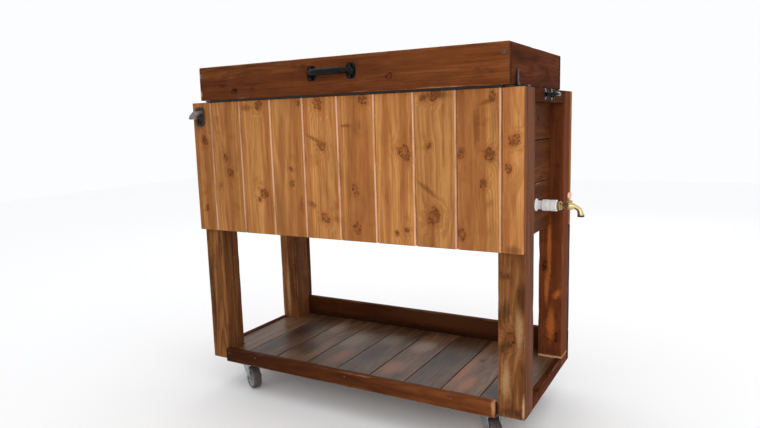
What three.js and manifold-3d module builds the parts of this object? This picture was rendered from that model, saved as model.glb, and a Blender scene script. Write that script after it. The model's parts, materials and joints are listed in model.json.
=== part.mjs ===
// Patio cooler on wheels: a stained-wood cart whose upper half is a planked box holding an
// insulated tub, with a hinged box lid, an open bay over a low shelf, a drain tap on its right
// side, a bottle opener at its front left and four swivel casters.
// Millimetres, +Z up, -Y the front. The origin is the bottom centre of the whole object.
import * as THREE from "three";
import { mergeVertices } from "three/addons/utils/BufferGeometryUtils.js";
import Module from "manifold-3d";

const wasm = await Module();
wasm.setup();

// ---- driving dimensions ----
const frameWidth = 915;
const frameDepth = 390;
const legSide = 63;
const legHeight = 720;
const casterHeight = 85;
const boardThick = 16;
const plankPitch = 100;
const plankCount = 10;
const firstPlankWidth = 67;
const plankGap = 1;
const plankDrop = 345; // height of the front planks, down from the frame's top
const railHeight = 30; // top rails between the legs
const wallRecess = 35; // side boards, back from the legs' outer faces
const sideBoardPitch = 101;
const shelfThick = 25;
const shelfBoardCount = 9;
const fasciaHeight = 38;
const backRailHeight = 84;
const lidLeftX = -411; // the lid sits a little off centre
const lidRightX = 430;
const lidHeight = 90;
const lidLift = 4.5; // shadow gap under the lid
const lidOverhang = 14; // lid front beyond the planks
const tubWall = 6;
const tubHalfX = 361;
const tubHalfY = 161;
const tubFlange = 3; // thickness of the rim that hangs the tub on the frame
const tubHang = 19; // foam room under the tub
const tapHeight = 451; // above the legs' feet
const tapY = 5;
const wheelRadius = 31.5;
const wheelWidth = 22;
const casterTrail = 24;
const casterInsetX = 98; // caster plate centre, in from the frame's ends
const casterInsetY = 42;
const clearance = 0.3; // between pieces that touch in turned groups, or move

// ---- derived levels and faces ----
const halfWidth = frameWidth / 2;
const halfDepth = frameDepth / 2;
const footZ = casterHeight;
const topZ = footZ + legHeight;
const lidZ = topZ + lidLift;
const lidTopZ = topZ + lidHeight;
const plankZ = topZ - plankDrop;
const legInnerX = halfWidth - legSide;
const legInnerY = halfDepth - legSide;
const wallOuterX = halfWidth - wallRecess;
const wallInnerX = wallOuterX - boardThick;
const plankFrontY = -halfDepth - boardThick;
const backFaceY = halfDepth + boardThick;
const lidFrontY = plankFrontY - lidOverhang;
const lidInsideY = lidFrontY + boardThick;
const floorZ = plankZ + 6;
const tubZ = floorZ + boardThick + tubHang;
const tubTopZ = topZ + tubFlange;
const tapZ = footZ + tapHeight;

// ---- materials ----
const paint = (color, roughness, metalness = 0) =>
  new THREE.MeshStandardMaterial({ color, roughness, metalness });
const materials = {
  honeyWood: paint(0xb07a45, 0.6),
  brownWood: paint(0x6e4327, 0.6),
  darkWood: paint(0x55301f, 0.55),
  shelfWood: paint(0x5a4a40, 0.45),
  hiddenWood: paint(0x7b5533, 0.75),
  blackMetal: paint(0x151517, 0.35, 0.8),
  castIron: paint(0x4a4643, 0.55, 0.9),
  zinc: paint(0x9aa0a3, 0.4, 0.9),
  wheelGrey: paint(0x77706e, 0.65),
  brass: paint(0xb8a066, 0.35, 0.9),
  copper: paint(0xc98f70, 0.4, 0.9),
  whitePlastic: paint(0xf2eff0, 0.4),
  tubWhite: paint(0xe8eaea, 0.45),
};

// ---- shape helpers ----
const outline = (points) => new THREE.Shape(points.map(([u, v]) => new THREE.Vector2(u, v)));

// Extrudes an outline from one place to another along a row axis. The outline's own two axes
// are the next ones in X, Y, Z order: X takes (Y, Z), Y takes (Z, X) and Z takes (X, Y).
function extrudeAlong(axis, shape, from, to) {
  const geometry = new THREE.ExtrudeGeometry(shape, {
    depth: to - from,
    bevelEnabled: false,
    curveSegments: 10,
  });
  geometry.translate(0, 0, from);
  const [x, y, z] = [0, 1, 2].map((i) => new THREE.Vector3().setComponent(i, 1));
  const turn = { x: [y, z, x], y: [z, x, y], z: [x, y, z] }[axis];
  return geometry.applyMatrix4(new THREE.Matrix4().makeBasis(...turn));
}

// A board between two corners, with its long edges eased by a small chamfer.
function board(axis, low, high, ease = 2) {
  const along = "xyz".indexOf(axis);
  const [i, j] = [(along + 1) % 3, (along + 2) % 3];
  const [u0, v0, u1, v1] = [low[i], low[j], high[i], high[j]];
  const corners = [
    [u0 + ease, v0], [u1 - ease, v0], [u1, v0 + ease], [u1, v1 - ease],
    [u1 - ease, v1], [u0 + ease, v1], [u0, v1 - ease], [u0, v0 + ease],
  ];
  return extrudeAlong(axis, outline(corners), low[along], high[along]);
}

function box(low, high) {
  const size = high.map((value, i) => value - low[i]);
  const geometry = new THREE.BoxGeometry(...size);
  return geometry.translate(...low.map((value, i) => value + size[i] / 2));
}

// A round body about an axis through a point, from a closed or axis-to-axis profile of
// (radius, distance along the axis).
function turned(profile, axis, centre, segments = 20) {
  const points = profile.map(([r, h]) => new THREE.Vector2(r, h));
  const geometry = new THREE.LatheGeometry(points, segments);
  if (axis === "x") geometry.rotateZ(-Math.PI / 2);
  if (axis === "z") geometry.rotateX(Math.PI / 2);
  return geometry.translate(...centre);
}

const rod = (radius, from, to, axis, centre, segments = 16) =>
  turned([[0, from], [radius, from], [radius, to], [0, to]], axis, centre, segments);

// A bar of round section along a path of points, with its bends rounded by the curve.
function bar(points, radius, steps, sides = 8) {
  const path = new THREE.CatmullRomCurve3(points.map((p) => new THREE.Vector3(...p)), false, "centripetal");
  const section = new THREE.Shape();
  for (let k = 0; k < sides; k++) {
    const angle = (2 * Math.PI * k) / sides;
    const point = [radius * Math.cos(angle), radius * Math.sin(angle)];
    if (k === 0) section.moveTo(...point);
    else section.lineTo(...point);
  }
  section.closePath();
  return new THREE.ExtrudeGeometry(section, { steps, extrudePath: path, bevelEnabled: false });
}

function solid(geometry) {
  const bare = geometry.clone();
  bare.deleteAttribute("normal");
  bare.deleteAttribute("uv");
  const merged = mergeVertices(bare, 1e-4);
  return new wasm.Manifold(
    new wasm.Mesh({
      numProp: 3,
      vertProperties: merged.attributes.position.array,
      triVerts: new Uint32Array(merged.index.array),
    }),
  );
}

function geometryOf(manifold) {
  const mesh = manifold.getMesh();
  const geometry = new THREE.BufferGeometry();
  geometry.setAttribute("position", new THREE.BufferAttribute(mesh.vertProperties, 3));
  geometry.setIndex(new THREE.BufferAttribute(mesh.triVerts, 1));
  const flat = geometry.toNonIndexed();
  flat.computeVertexNormals();
  return flat;
}

const joined = (...pieces) => pieces.map(solid).reduce((sum, piece) => sum.add(piece));
const cutFrom = (base, ...cutters) => cutters.map(solid).reduce((rest, piece) => rest.subtract(piece), base);

const cooler = new THREE.Group();

function add(name, geometry, material, group = cooler) {
  const mesh = new THREE.Mesh(geometry, material);
  mesh.name = name;
  group.add(mesh);
  return mesh;
}

// ---- frame: four legs and the rails round their tops ----
function buildFrame() {
  for (const [sideName, side] of [["left", -1], ["right", 1]]) {
    const [x0, x1] = side < 0 ? [-halfWidth, -legInnerX] : [legInnerX, halfWidth];
    add(`leg_front_${sideName}`, board("z", [x0, -halfDepth, footZ], [x1, -legInnerY, topZ], 3),
      materials.brownWood);
    add(`leg_back_${sideName}`, board("z", [x0, legInnerY, footZ], [x1, halfDepth, topZ], 3),
      materials.brownWood);
    const [r0, r1] = side < 0 ? [-halfWidth, -wallOuterX] : [wallOuterX, halfWidth];
    add(`back_batten_${sideName}`,
      board("z", [x0, halfDepth, footZ + backRailHeight], [x1, backFaceY, plankZ]), materials.darkWood);
    add(`top_rail_${sideName}`, board("y", [r0, -legInnerY, topZ - railHeight], [r1, legInnerY, topZ]),
      materials.darkWood);
  }
  const railReach = legInnerX;
  const railDepth = 13.5;
  add("top_rail_front",
    board("x", [-railReach, -halfDepth, topZ - railHeight], [railReach, -halfDepth + railDepth, topZ]),
    materials.hiddenWood);
  add("top_rail_back",
    board("x", [-railReach, halfDepth - railDepth, topZ - railHeight], [railReach, halfDepth, topZ]),
    materials.hiddenWood);
}

// ---- box walls ----
function buildPlanks() {
  const chamfer = 3;
  let left = -halfWidth;
  for (let k = 0; k < plankCount; k++) {
    const joint = -halfWidth + firstPlankWidth + k * plankPitch;
    const right = k === plankCount - 1 ? halfWidth : joint - plankGap;
    const section = outline([
      [left, -halfDepth], [left, plankFrontY + chamfer], [left + chamfer, plankFrontY],
      [right - chamfer, plankFrontY], [right, plankFrontY + chamfer], [right, -halfDepth],
    ]);
    add(`front_plank_${k + 1}`, extrudeAlong("z", section, plankZ, topZ), materials.honeyWood);
    left = joint;
  }
}

function buildBackPanel() {
  const groove = 3;
  const points = [[-halfWidth, halfDepth], [halfWidth, halfDepth], [halfWidth, backFaceY]];
  for (let k = plankCount - 2; k >= 0; k--) {
    const joint = -halfWidth + firstPlankWidth + k * plankPitch;
    points.push([joint + groove, backFaceY], [joint, backFaceY - groove], [joint - groove, backFaceY]);
  }
  points.push([-halfWidth, backFaceY]);
  add("back_panel", extrudeAlong("z", outline(points), plankZ, topZ), materials.hiddenWood);
}

function buildSidePanels() {
  const groove = 2;
  for (const [sideName, side] of [["left", -1], ["right", 1]]) {
    const outer = side * wallOuterX;
    const inner = side * wallInnerX;
    const points = [[floorZ, inner], [floorZ, outer]];
    for (let z = topZ - 15 - 2 * sideBoardPitch; z < topZ; z += sideBoardPitch) {
      points.push([z - groove, outer], [z, outer - side * groove], [z + groove, outer]);
    }
    points.push([topZ, outer], [topZ, inner]);
    const panel = solid(extrudeAlong("y", outline(points), -legInnerY, legInnerY));
    if (side < 0) {
      add("side_panel_left", geometryOf(panel), materials.darkWood);
      continue;
    }
    const drainHole = rod(11.5, wallInnerX - 5, wallOuterX + 5, "x", [0, tapY, tapZ]);
    add("side_panel_right", geometryOf(cutFrom(panel, drainHole)), materials.darkWood);
  }
}

// The floor board of the box is notched round the legs.
function buildBoxFloor() {
  const reach = wallInnerX - clearance;
  const neck = legInnerX - clearance;
  const notch = legInnerY - clearance;
  const corners = [
    [neck, -halfDepth], [neck, -notch], [reach, -notch], [reach, notch], [neck, notch], [neck, halfDepth],
  ];
  const mirrored = corners.map(([x, y]) => [-x, -y]);
  add("box_floor", extrudeAlong("z", outline([...corners, ...mirrored]), floorZ, floorZ + boardThick),
    materials.hiddenWood);
}

// ---- shelf, its edge boards and the rail behind it ----
function buildShelf() {
  const reach = halfWidth - boardThick;
  const groove = 1.5;
  const topFace = footZ + shelfThick;
  const boards = 2 * reach / shelfBoardCount;
  const inside = legInnerX - clearance;
  const notch = legInnerY - clearance;
  const points = [[-reach, footZ], [reach, footZ], [reach, topFace]];
  for (let k = shelfBoardCount - 1; k > 0; k--) {
    const joint = -reach + k * boards;
    points.push([joint + groove, topFace], [joint, topFace - groove], [joint - groove, topFace]);
  }
  points.push([-reach, topFace]);
  // Outline in (X, Z), drawn as (Z, X) for an extrusion along Y.
  const section = outline(points.map(([x, z]) => [z, x]).reverse());
  const deck = solid(extrudeAlong("y", section, -halfDepth, halfDepth));
  const notches = [];
  for (const sx of [-1, 1]) {
    for (const sy of [-1, 1]) {
      const x = [sx * inside, sx * halfWidth];
      const y = [sy * notch, sy * (halfDepth + 5)];
      notches.push(box(
        [Math.min(...x), Math.min(...y), footZ - 5],
        [Math.max(...x), Math.max(...y), topFace + 5],
      ));
    }
  }
  add("shelf_deck", geometryOf(cutFrom(deck, ...notches)), materials.shelfWood);
  for (const [sideName, side] of [["left", -1], ["right", 1]]) {
    const [x0, x1] = side < 0 ? [-halfWidth, -reach] : [reach, halfWidth];
    add(`shelf_edge_${sideName}`, board("y", [x0, -legInnerY, footZ], [x1, legInnerY, footZ + 28], 1.5),
      materials.brownWood);
  }
  add("shelf_front_board",
    board("x", [-legInnerX, plankFrontY, footZ], [legInnerX, -halfDepth, footZ + fasciaHeight], 1.5),
    materials.brownWood);
  add("shelf_back_rail",
    board("x", [-halfWidth, halfDepth, footZ], [halfWidth, backFaceY, footZ + backRailHeight]),
    materials.darkWood);
}

// ---- moulded tub, hung by its rim, with a drain hole low in its right wall ----
function buildTub() {
  const [rimX, rimY] = [405, 188];
  const insideX = tubHalfX - tubWall;
  const insideY = tubHalfY - tubWall;
  const shell = joined(
    box([-tubHalfX, -tubHalfY, tubZ], [tubHalfX, tubHalfY, tubTopZ]),
    box([-rimX, -rimY, topZ], [rimX, rimY, tubTopZ]),
  );
  const cavity = box([-insideX, -insideY, tubZ + tubWall], [insideX, insideY, tubTopZ + 5]);
  const drain = rod(11, insideX - 5, tubHalfX + 5, "x", [0, tapY, tapZ]);
  add("cooler_tub", geometryOf(cutFrom(shell, cavity, drain)), materials.tubWhite);
}

// ---- drain: pipe and coupling, tap and its butterfly handle ----
function buildTap() {
  const centre = [0, tapY, tapZ];
  const pipeEnd = 438;
  const couplingEnd = 472.5;
  const [boreR, pipeR, couplingR] = [7.6, 10.5, 13.5];
  const pipeStart = tubHalfX - tubWall + 1;
  add("drain_pipe", turned([
    [boreR, pipeStart], [pipeR, pipeStart], [pipeR, pipeEnd], [couplingR, pipeEnd + 1],
    [couplingR, couplingEnd - 1], [couplingR - 1, couplingEnd], [boreR, couplingEnd], [boreR, pipeStart],
  ], "x", centre, 20), materials.whitePlastic);

  const stemX = couplingEnd + 27;
  const body = solid(turned([
    [0, couplingEnd - 18], [7, couplingEnd - 18], [7, couplingEnd + clearance],
    [10.5, couplingEnd + clearance], [10.5, couplingEnd + 8], [7, couplingEnd + 10],
    [7.5, couplingEnd + 20], [9, couplingEnd + 27], [7, couplingEnd + 35], [0, couplingEnd + 35],
  ], "x", centre, 12));
  const spout = bar([
    [couplingEnd + 30, tapY, tapZ], [couplingEnd + 42, tapY, tapZ - 2], [couplingEnd + 51, tapY, tapZ - 9],
    [couplingEnd + 54, tapY, tapZ - 20],
  ], 6.5, 8, 10);
  const lip = rod(8, tapZ - 24, tapZ - 19, "z", [couplingEnd + 54, tapY, 0], 12);
  const bonnet = rod(6, tapZ, tapZ + 14, "z", [stemX, tapY, 0], 12);
  const bodyWhole = [spout, lip, bonnet].map(solid).reduce((sum, piece) => sum.add(piece), body);
  add("tap_body", geometryOf(bodyWhole), materials.brass);

  const stem = rod(3, tapZ + 14 + clearance, tapZ + 20, "z", [stemX, tapY, 0], 10);
  const wing = new THREE.Shape();
  wing.absellipse(tapY, tapZ + 25.5, 16, 8.5, 0, 2 * Math.PI);
  const eye = new THREE.Path();
  eye.absellipse(tapY, tapZ + 26.5, 10.5, 4.5, 0, 2 * Math.PI);
  wing.holes.push(eye);
  const wings = extrudeAlong("x", wing, stemX - 2, stemX + 2);
  add("tap_handle", geometryOf(joined(wings, stem)), materials.copper);
}

// ---- lid ----
function buildLid() {
  const backY = halfDepth;
  add("lid_front_board",
    board("x", [lidLeftX, lidFrontY, lidZ], [lidRightX, lidInsideY, lidTopZ], 1.5), materials.darkWood);
  add("lid_back_board",
    board("x", [lidLeftX, backY - boardThick, lidZ], [lidRightX, backY, lidTopZ], 1.5), materials.darkWood);
  for (const [sideName, x0] of [["left", lidLeftX], ["right", lidRightX - boardThick]]) {
    add(`lid_side_${sideName}`,
      board("y", [x0, lidInsideY, lidZ], [x0 + boardThick, backY - boardThick, lidTopZ], 1.5),
      materials.darkWood);
  }
  const innerX = [lidLeftX + boardThick, lidRightX - boardThick];
  add("lid_top_panel",
    box([innerX[0], lidInsideY, lidTopZ - boardThick], [innerX[1], backY - boardThick, lidTopZ]),
    materials.darkWood);
  buildLiner(innerX, backY - boardThick);
}

// The lid's liner is a stepped tray that is open towards the top panel.
function buildLiner(innerX, backY) {
  const skin = 3;
  const linerTop = lidTopZ - boardThick;
  const step = lidZ + 8;
  const [trayX0, trayX1] = [innerX[0] + 2, innerX[1] - 2];
  const [trayY0, trayY1] = [lidInsideY + 2, backY - 2];
  const [padX, padY0, padY1] = [385, -180, backY - 6];
  const tray = joined(
    box([trayX0, trayY0, step], [trayX1, trayY1, linerTop]),
    box([-padX, padY0, tubTopZ + clearance], [padX, padY1, step + 1]),
  );
  add("lid_liner", geometryOf(cutFrom(tray,
    box([trayX0 + skin, trayY0 + skin, step + skin], [trayX1 - skin, trayY1 - skin, linerTop + 5]),
    box([skin - padX, padY0 + skin, tubTopZ + clearance + skin], [padX - skin, padY1 - skin, linerTop]),
  )), materials.tubWhite);
}

// A cast pull: two end plates and a round bar that stands off them.
function pull(halfLength, plateWidth, plateHeight, standOff, barRadius) {
  const plateThick = 3;
  const plates = [-1, 1].map((side) => {
    const middle = side * (halfLength - plateWidth / 2);
    return board("y", [middle - plateWidth / 2, -plateThick, -plateHeight / 2],
      [middle + plateWidth / 2, 0, plateHeight / 2], 5);
  });
  const foot = halfLength - plateWidth * 0.55;
  const bend = halfLength - plateWidth * 0.8;
  const grip = bar([
    [-foot, -1, 0], [-foot, -standOff * 0.55, 0], [-bend, -standOff, 0], [0, -standOff, 0],
    [bend, -standOff, 0], [foot, -standOff * 0.55, 0], [foot, -1, 0],
  ], barRadius, 28, 10);
  return joined(...plates, grip);
}

function buildHandles() {
  const lidPull = new THREE.Group();
  lidPull.position.set(4, lidFrontY - clearance, topZ + 54);
  cooler.add(lidPull);
  add("lid_handle", geometryOf(pull(68, 27, 37, 27, 5)), materials.blackMetal, lidPull);

  const sidePull = new THREE.Group();
  sidePull.position.set(halfWidth + clearance, -27, topZ - 13);
  sidePull.rotation.z = Math.PI / 2;
  cooler.add(sidePull);
  add("side_handle", geometryOf(pull(36, 17, 26, 20, 4)), materials.blackMetal, sidePull);
}

// ---- hinge along the lid's back, with its pin fixed in the lid leaf's knuckles ----
const hingeY = halfDepth + 5;
const hingeZ = topZ + 4;
function buildHinge() {
  const reach = 380;
  const knuckleCount = 9;
  const knuckleR = 3.6;
  const leafThick = 1.5;
  const pitch = (2 * reach) / knuckleCount;
  const centre = [0, hingeY, hingeZ];
  const knuckles = (first) => {
    const list = [];
    for (let k = first; k < knuckleCount; k += 2) {
      list.push(rod(knuckleR, -reach + k * pitch + 0.5, -reach + (k + 1) * pitch - 0.5, "x", centre, 12));
    }
    return list;
  };
  const leafTop = topZ + clearance + leafThick;
  const frameLeaf = joined(
    box([-reach, hingeY + 1, topZ + clearance], [reach, backFaceY - 1, leafTop]),
    ...knuckles(0),
  );
  const frameCutters = [rod(1.8, -reach - 5, reach + 5, "x", centre, 12)];
  const lidLeafY = halfDepth + clearance;
  const lidLeaf = joined(
    box([-reach, lidLeafY, hingeZ], [reach, lidLeafY + leafThick, lidZ + 30]),
    ...knuckles(1),
  );
  const gapCutter = (k) => {
    const [x0, x1] = [-reach + k * pitch - 0.5, -reach + (k + 1) * pitch + 0.5];
    return box([x0, hingeY - 5.5, hingeZ - 5], [x1, hingeY + 4.5, hingeZ + 4.5]);
  };
  const lidCutters = [];
  for (let k = 0; k < knuckleCount; k += 1) {
    if (k % 2 === 0) lidCutters.push(gapCutter(k));
    else frameCutters.push(gapCutter(k));
  }
  add("hinge_frame_leaf", geometryOf(cutFrom(frameLeaf, ...frameCutters)), materials.zinc);
  const pin = solid(rod(1.2, -reach, reach, "x", centre, 12));
  add("hinge_lid_leaf", geometryOf(cutFrom(lidLeaf, ...lidCutters).add(pin)), materials.zinc);
}

// ---- wall-mounted bottle opener on the first front plank ----
function buildOpener() {
  const x0 = -halfWidth + 12;
  const width = 30;
  const plate = board("y", [x0, plankFrontY - 4 - clearance, topZ - 62],
    [x0 + width, plankFrontY - clearance, topZ - 12], 3);
  const faceY = plankFrontY - clearance - 3;
  const hood = outline([
    [faceY, topZ - 18], [faceY - 14, topZ - 19], [faceY - 29, topZ - 29], [faceY - 31, topZ - 37],
    [faceY - 27, topZ - 39], [faceY - 22, topZ - 34], [faceY - 12, topZ - 28], [faceY, topZ - 28],
  ]);
  const tongue = outline([
    [faceY, topZ - 48], [faceY - 12, topZ - 52], [faceY - 14, topZ - 57], [faceY, topZ - 58],
  ]);
  add("bottle_opener", geometryOf(joined(
    plate,
    extrudeAlong("x", hood, x0 + 1, x0 + width - 1),
    extrudeAlong("x", tongue, x0 + 8, x0 + width - 8),
  )), materials.castIron);
}

// ---- swivel casters ----
const casters = [
  { name: "front_left", sx: -1, sy: -1, heading: -28 },
  { name: "front_right", sx: 1, sy: -1, heading: -45 },
  { name: "back_left", sx: -1, sy: 1, heading: -20 },
  { name: "back_right", sx: 1, sy: 1, heading: -35 },
];
function buildCaster({ name, sx, sy, heading }) {
  const centre = [sx * (halfWidth - casterInsetX), sy * (halfDepth - casterInsetY)];
  const plateThick = 2.5;
  const plateHalf = 30;
  add(`caster_plate_${name}`, board("z",
    [centre[0] - plateHalf, centre[1] - plateHalf, footZ - plateThick],
    [centre[0] + plateHalf, centre[1] + plateHalf, footZ], 5), materials.zinc);

  const swivel = new THREE.Group();
  swivel.position.set(...centre, 0);
  swivel.rotation.z = THREE.MathUtils.degToRad(heading);
  cooler.add(swivel);

  const crownTop = footZ - plateThick - clearance;
  const crownBottom = 72;
  const [cheekIn, cheekOut] = [14, 16.5];
  const cheek = (from, to) => extrudeAlong("y", outline([
    [crownBottom, -17], [crownBottom + 2.5, -17], [crownBottom + 2.5, 21], [crownBottom, 21],
    [wheelRadius + 2, casterTrail + 9], [wheelRadius - 6, casterTrail + 6], [wheelRadius - 9, casterTrail],
    [wheelRadius - 6, casterTrail - 6], [wheelRadius + 8, casterTrail - 13],
  ].reverse()), from, to);
  const axle = [casterTrail, 0, wheelRadius];
  const fork = joined(
    turned([[0, crownBottom], [19, crownBottom], [21, crownTop - 5], [19, crownTop], [0, crownTop]], "z",
      [0, 0, 0], 20),
    box([-17, -cheekOut, crownBottom], [21, cheekOut, crownBottom + 2.5]),
    cheek(-cheekOut, -cheekIn),
    cheek(cheekIn, cheekOut),
  );
  const bored = cutFrom(fork, rod(4.4, -20, 20, "y", axle, 12));
  add(`caster_fork_${name}`, geometryOf(bored), materials.zinc, swivel);

  const headOut = cheekOut + 3.5;
  add(`caster_axle_${name}`, turned([
    [0, -headOut], [6.5, -headOut], [6.5, -cheekOut - clearance], [4, -cheekOut - clearance],
    [4, cheekOut + clearance], [6.5, cheekOut + clearance], [6.5, headOut], [0, headOut],
  ], "y", axle, 12), materials.zinc, swivel);

  const half = wheelWidth / 2;
  const hub = cheekIn - 1;
  add(`caster_wheel_${name}`, turned([
    [4.4, -hub], [9, -hub], [10, -half + 1.5], [24, -half + 1.5], [25.5, -half], [29, -half],
    [wheelRadius, -half + 4], [wheelRadius, half - 4], [29, half], [25.5, half], [24, half - 1.5],
    [10, half - 1.5], [9, hub], [4.4, hub], [4.4, -hub],
  ], "y", axle, 24), materials.wheelGrey, swivel);
}

buildFrame();
buildPlanks();
buildBackPanel();
buildSidePanels();
buildBoxFloor();
buildShelf();
buildTub();
buildTap();
buildLid();
buildHandles();
buildHinge();
buildOpener();
casters.forEach(buildCaster);

// The frame's centre is the design's own origin; the group moves so that the whole object's
// bottom centre, tap and opener included, is at 0.
const bounds = new THREE.Box3().setFromObject(cooler, true);
const shift = new THREE.Vector3();
bounds.getCenter(shift).setZ(bounds.min.z);
const shiftStep = 0.25; // a round step keeps faces that touch exactly in one plane
cooler.position.sub(shift.divideScalar(shiftStep).round().multiplyScalar(shiftStep));

export default cooler;
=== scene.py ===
"""Looks of the patio cooler cart: stained boards, lid, tub, tap, opener, pulls and casters."""
import json
import math
import random

import bpy
from mathutils import Matrix, Vector, noise


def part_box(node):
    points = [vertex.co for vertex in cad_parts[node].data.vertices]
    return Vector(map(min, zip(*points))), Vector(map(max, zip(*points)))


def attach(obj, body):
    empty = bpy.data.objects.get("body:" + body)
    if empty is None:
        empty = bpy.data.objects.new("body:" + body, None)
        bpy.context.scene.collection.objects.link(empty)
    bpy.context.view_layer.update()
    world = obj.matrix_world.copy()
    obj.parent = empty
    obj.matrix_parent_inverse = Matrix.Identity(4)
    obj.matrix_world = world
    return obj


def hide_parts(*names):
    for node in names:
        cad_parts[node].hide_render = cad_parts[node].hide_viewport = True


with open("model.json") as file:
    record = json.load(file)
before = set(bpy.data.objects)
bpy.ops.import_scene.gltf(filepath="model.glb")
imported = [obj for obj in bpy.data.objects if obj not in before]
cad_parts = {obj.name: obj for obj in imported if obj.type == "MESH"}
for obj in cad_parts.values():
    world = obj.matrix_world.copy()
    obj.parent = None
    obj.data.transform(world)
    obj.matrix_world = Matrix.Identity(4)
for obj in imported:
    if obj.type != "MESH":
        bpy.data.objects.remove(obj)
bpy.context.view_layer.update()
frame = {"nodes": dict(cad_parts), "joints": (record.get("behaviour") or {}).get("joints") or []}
UP = Vector((0, 0, 1))


# ---- camera, floor and light ------------------------------------------------------------------
def make_camera():
    """A standing view from the front right: heading, tilt and roll as a hand-held camera has them."""
    data = bpy.data.cameras.new("camera")
    data.sensor_width = 36
    data.lens = 29.69
    data.clip_start = 0.05
    camera = bpy.data.objects.new("camera", data)
    bpy.context.scene.collection.objects.link(camera)
    place = Vector((0.7885, -1.4411, 0.7449))
    heading, tilt, roll = 0.5153, -0.148, -0.0286
    turn = Matrix.Rotation(heading, 4, "Z")
    turn = turn @ Matrix.Rotation(math.pi / 2 + tilt, 4, "X") @ Matrix.Rotation(roll, 4, "Z")
    camera.matrix_world = Matrix.Translation(place) @ turn
    bpy.context.scene.camera = camera


def make_light(name, place, target, size, watts, colour=(1, 1, 1)):
    data = bpy.data.lights.new(name, "AREA")
    data.shape = "RECTANGLE"
    data.size, data.size_y = size
    data.energy = watts
    data.color = colour
    light = bpy.data.objects.new(name, data)
    bpy.context.scene.collection.objects.link(light)
    light.location = place
    light.rotation_euler = (Vector(target) - Vector(place)).to_track_quat("-Z", "Y").to_euler()


def make_studio():
    world = bpy.data.worlds.new("studio")
    world.use_nodes = True
    world.node_tree.nodes["Background"].inputs["Color"].default_value = (0.98, 0.985, 1, 1)
    world.node_tree.nodes["Background"].inputs["Strength"].default_value = 1.0
    bpy.context.scene.world = world
    bpy.context.scene.view_settings.view_transform = "Standard"
    make_light("key", (1.5, -2.5, 1.5), (0.3, 0, 0.6), (0.9, 0.9), 14, (1, 0.98, 0.95))
    make_light("right", (2.6, -0.9, 1.7), (0.2, 0, 0.5), (1.2, 1.4), 2)
    make_light("back", (-0.6, 2.6, 1.9), (0, 0, 0.4), (2.4, 1.2), 8, (0.93, 0.96, 1))

    mesh = bpy.data.meshes.new("floor")
    reach = 6
    mesh.from_pydata([(-reach, -reach, 0), (reach, -reach, 0), (reach, reach, 0), (-reach, reach, 0)],
                     [], [(0, 1, 2, 3)])
    floor = bpy.data.objects.new("floor", mesh)
    bpy.context.scene.collection.objects.link(floor)
    graph = Graph("floor")
    graph.set("Base Color", (0.97, 0.97, 0.97, 1))
    graph.set("Roughness", 0.8)
    floor.data.materials.append(graph.material)


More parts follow.
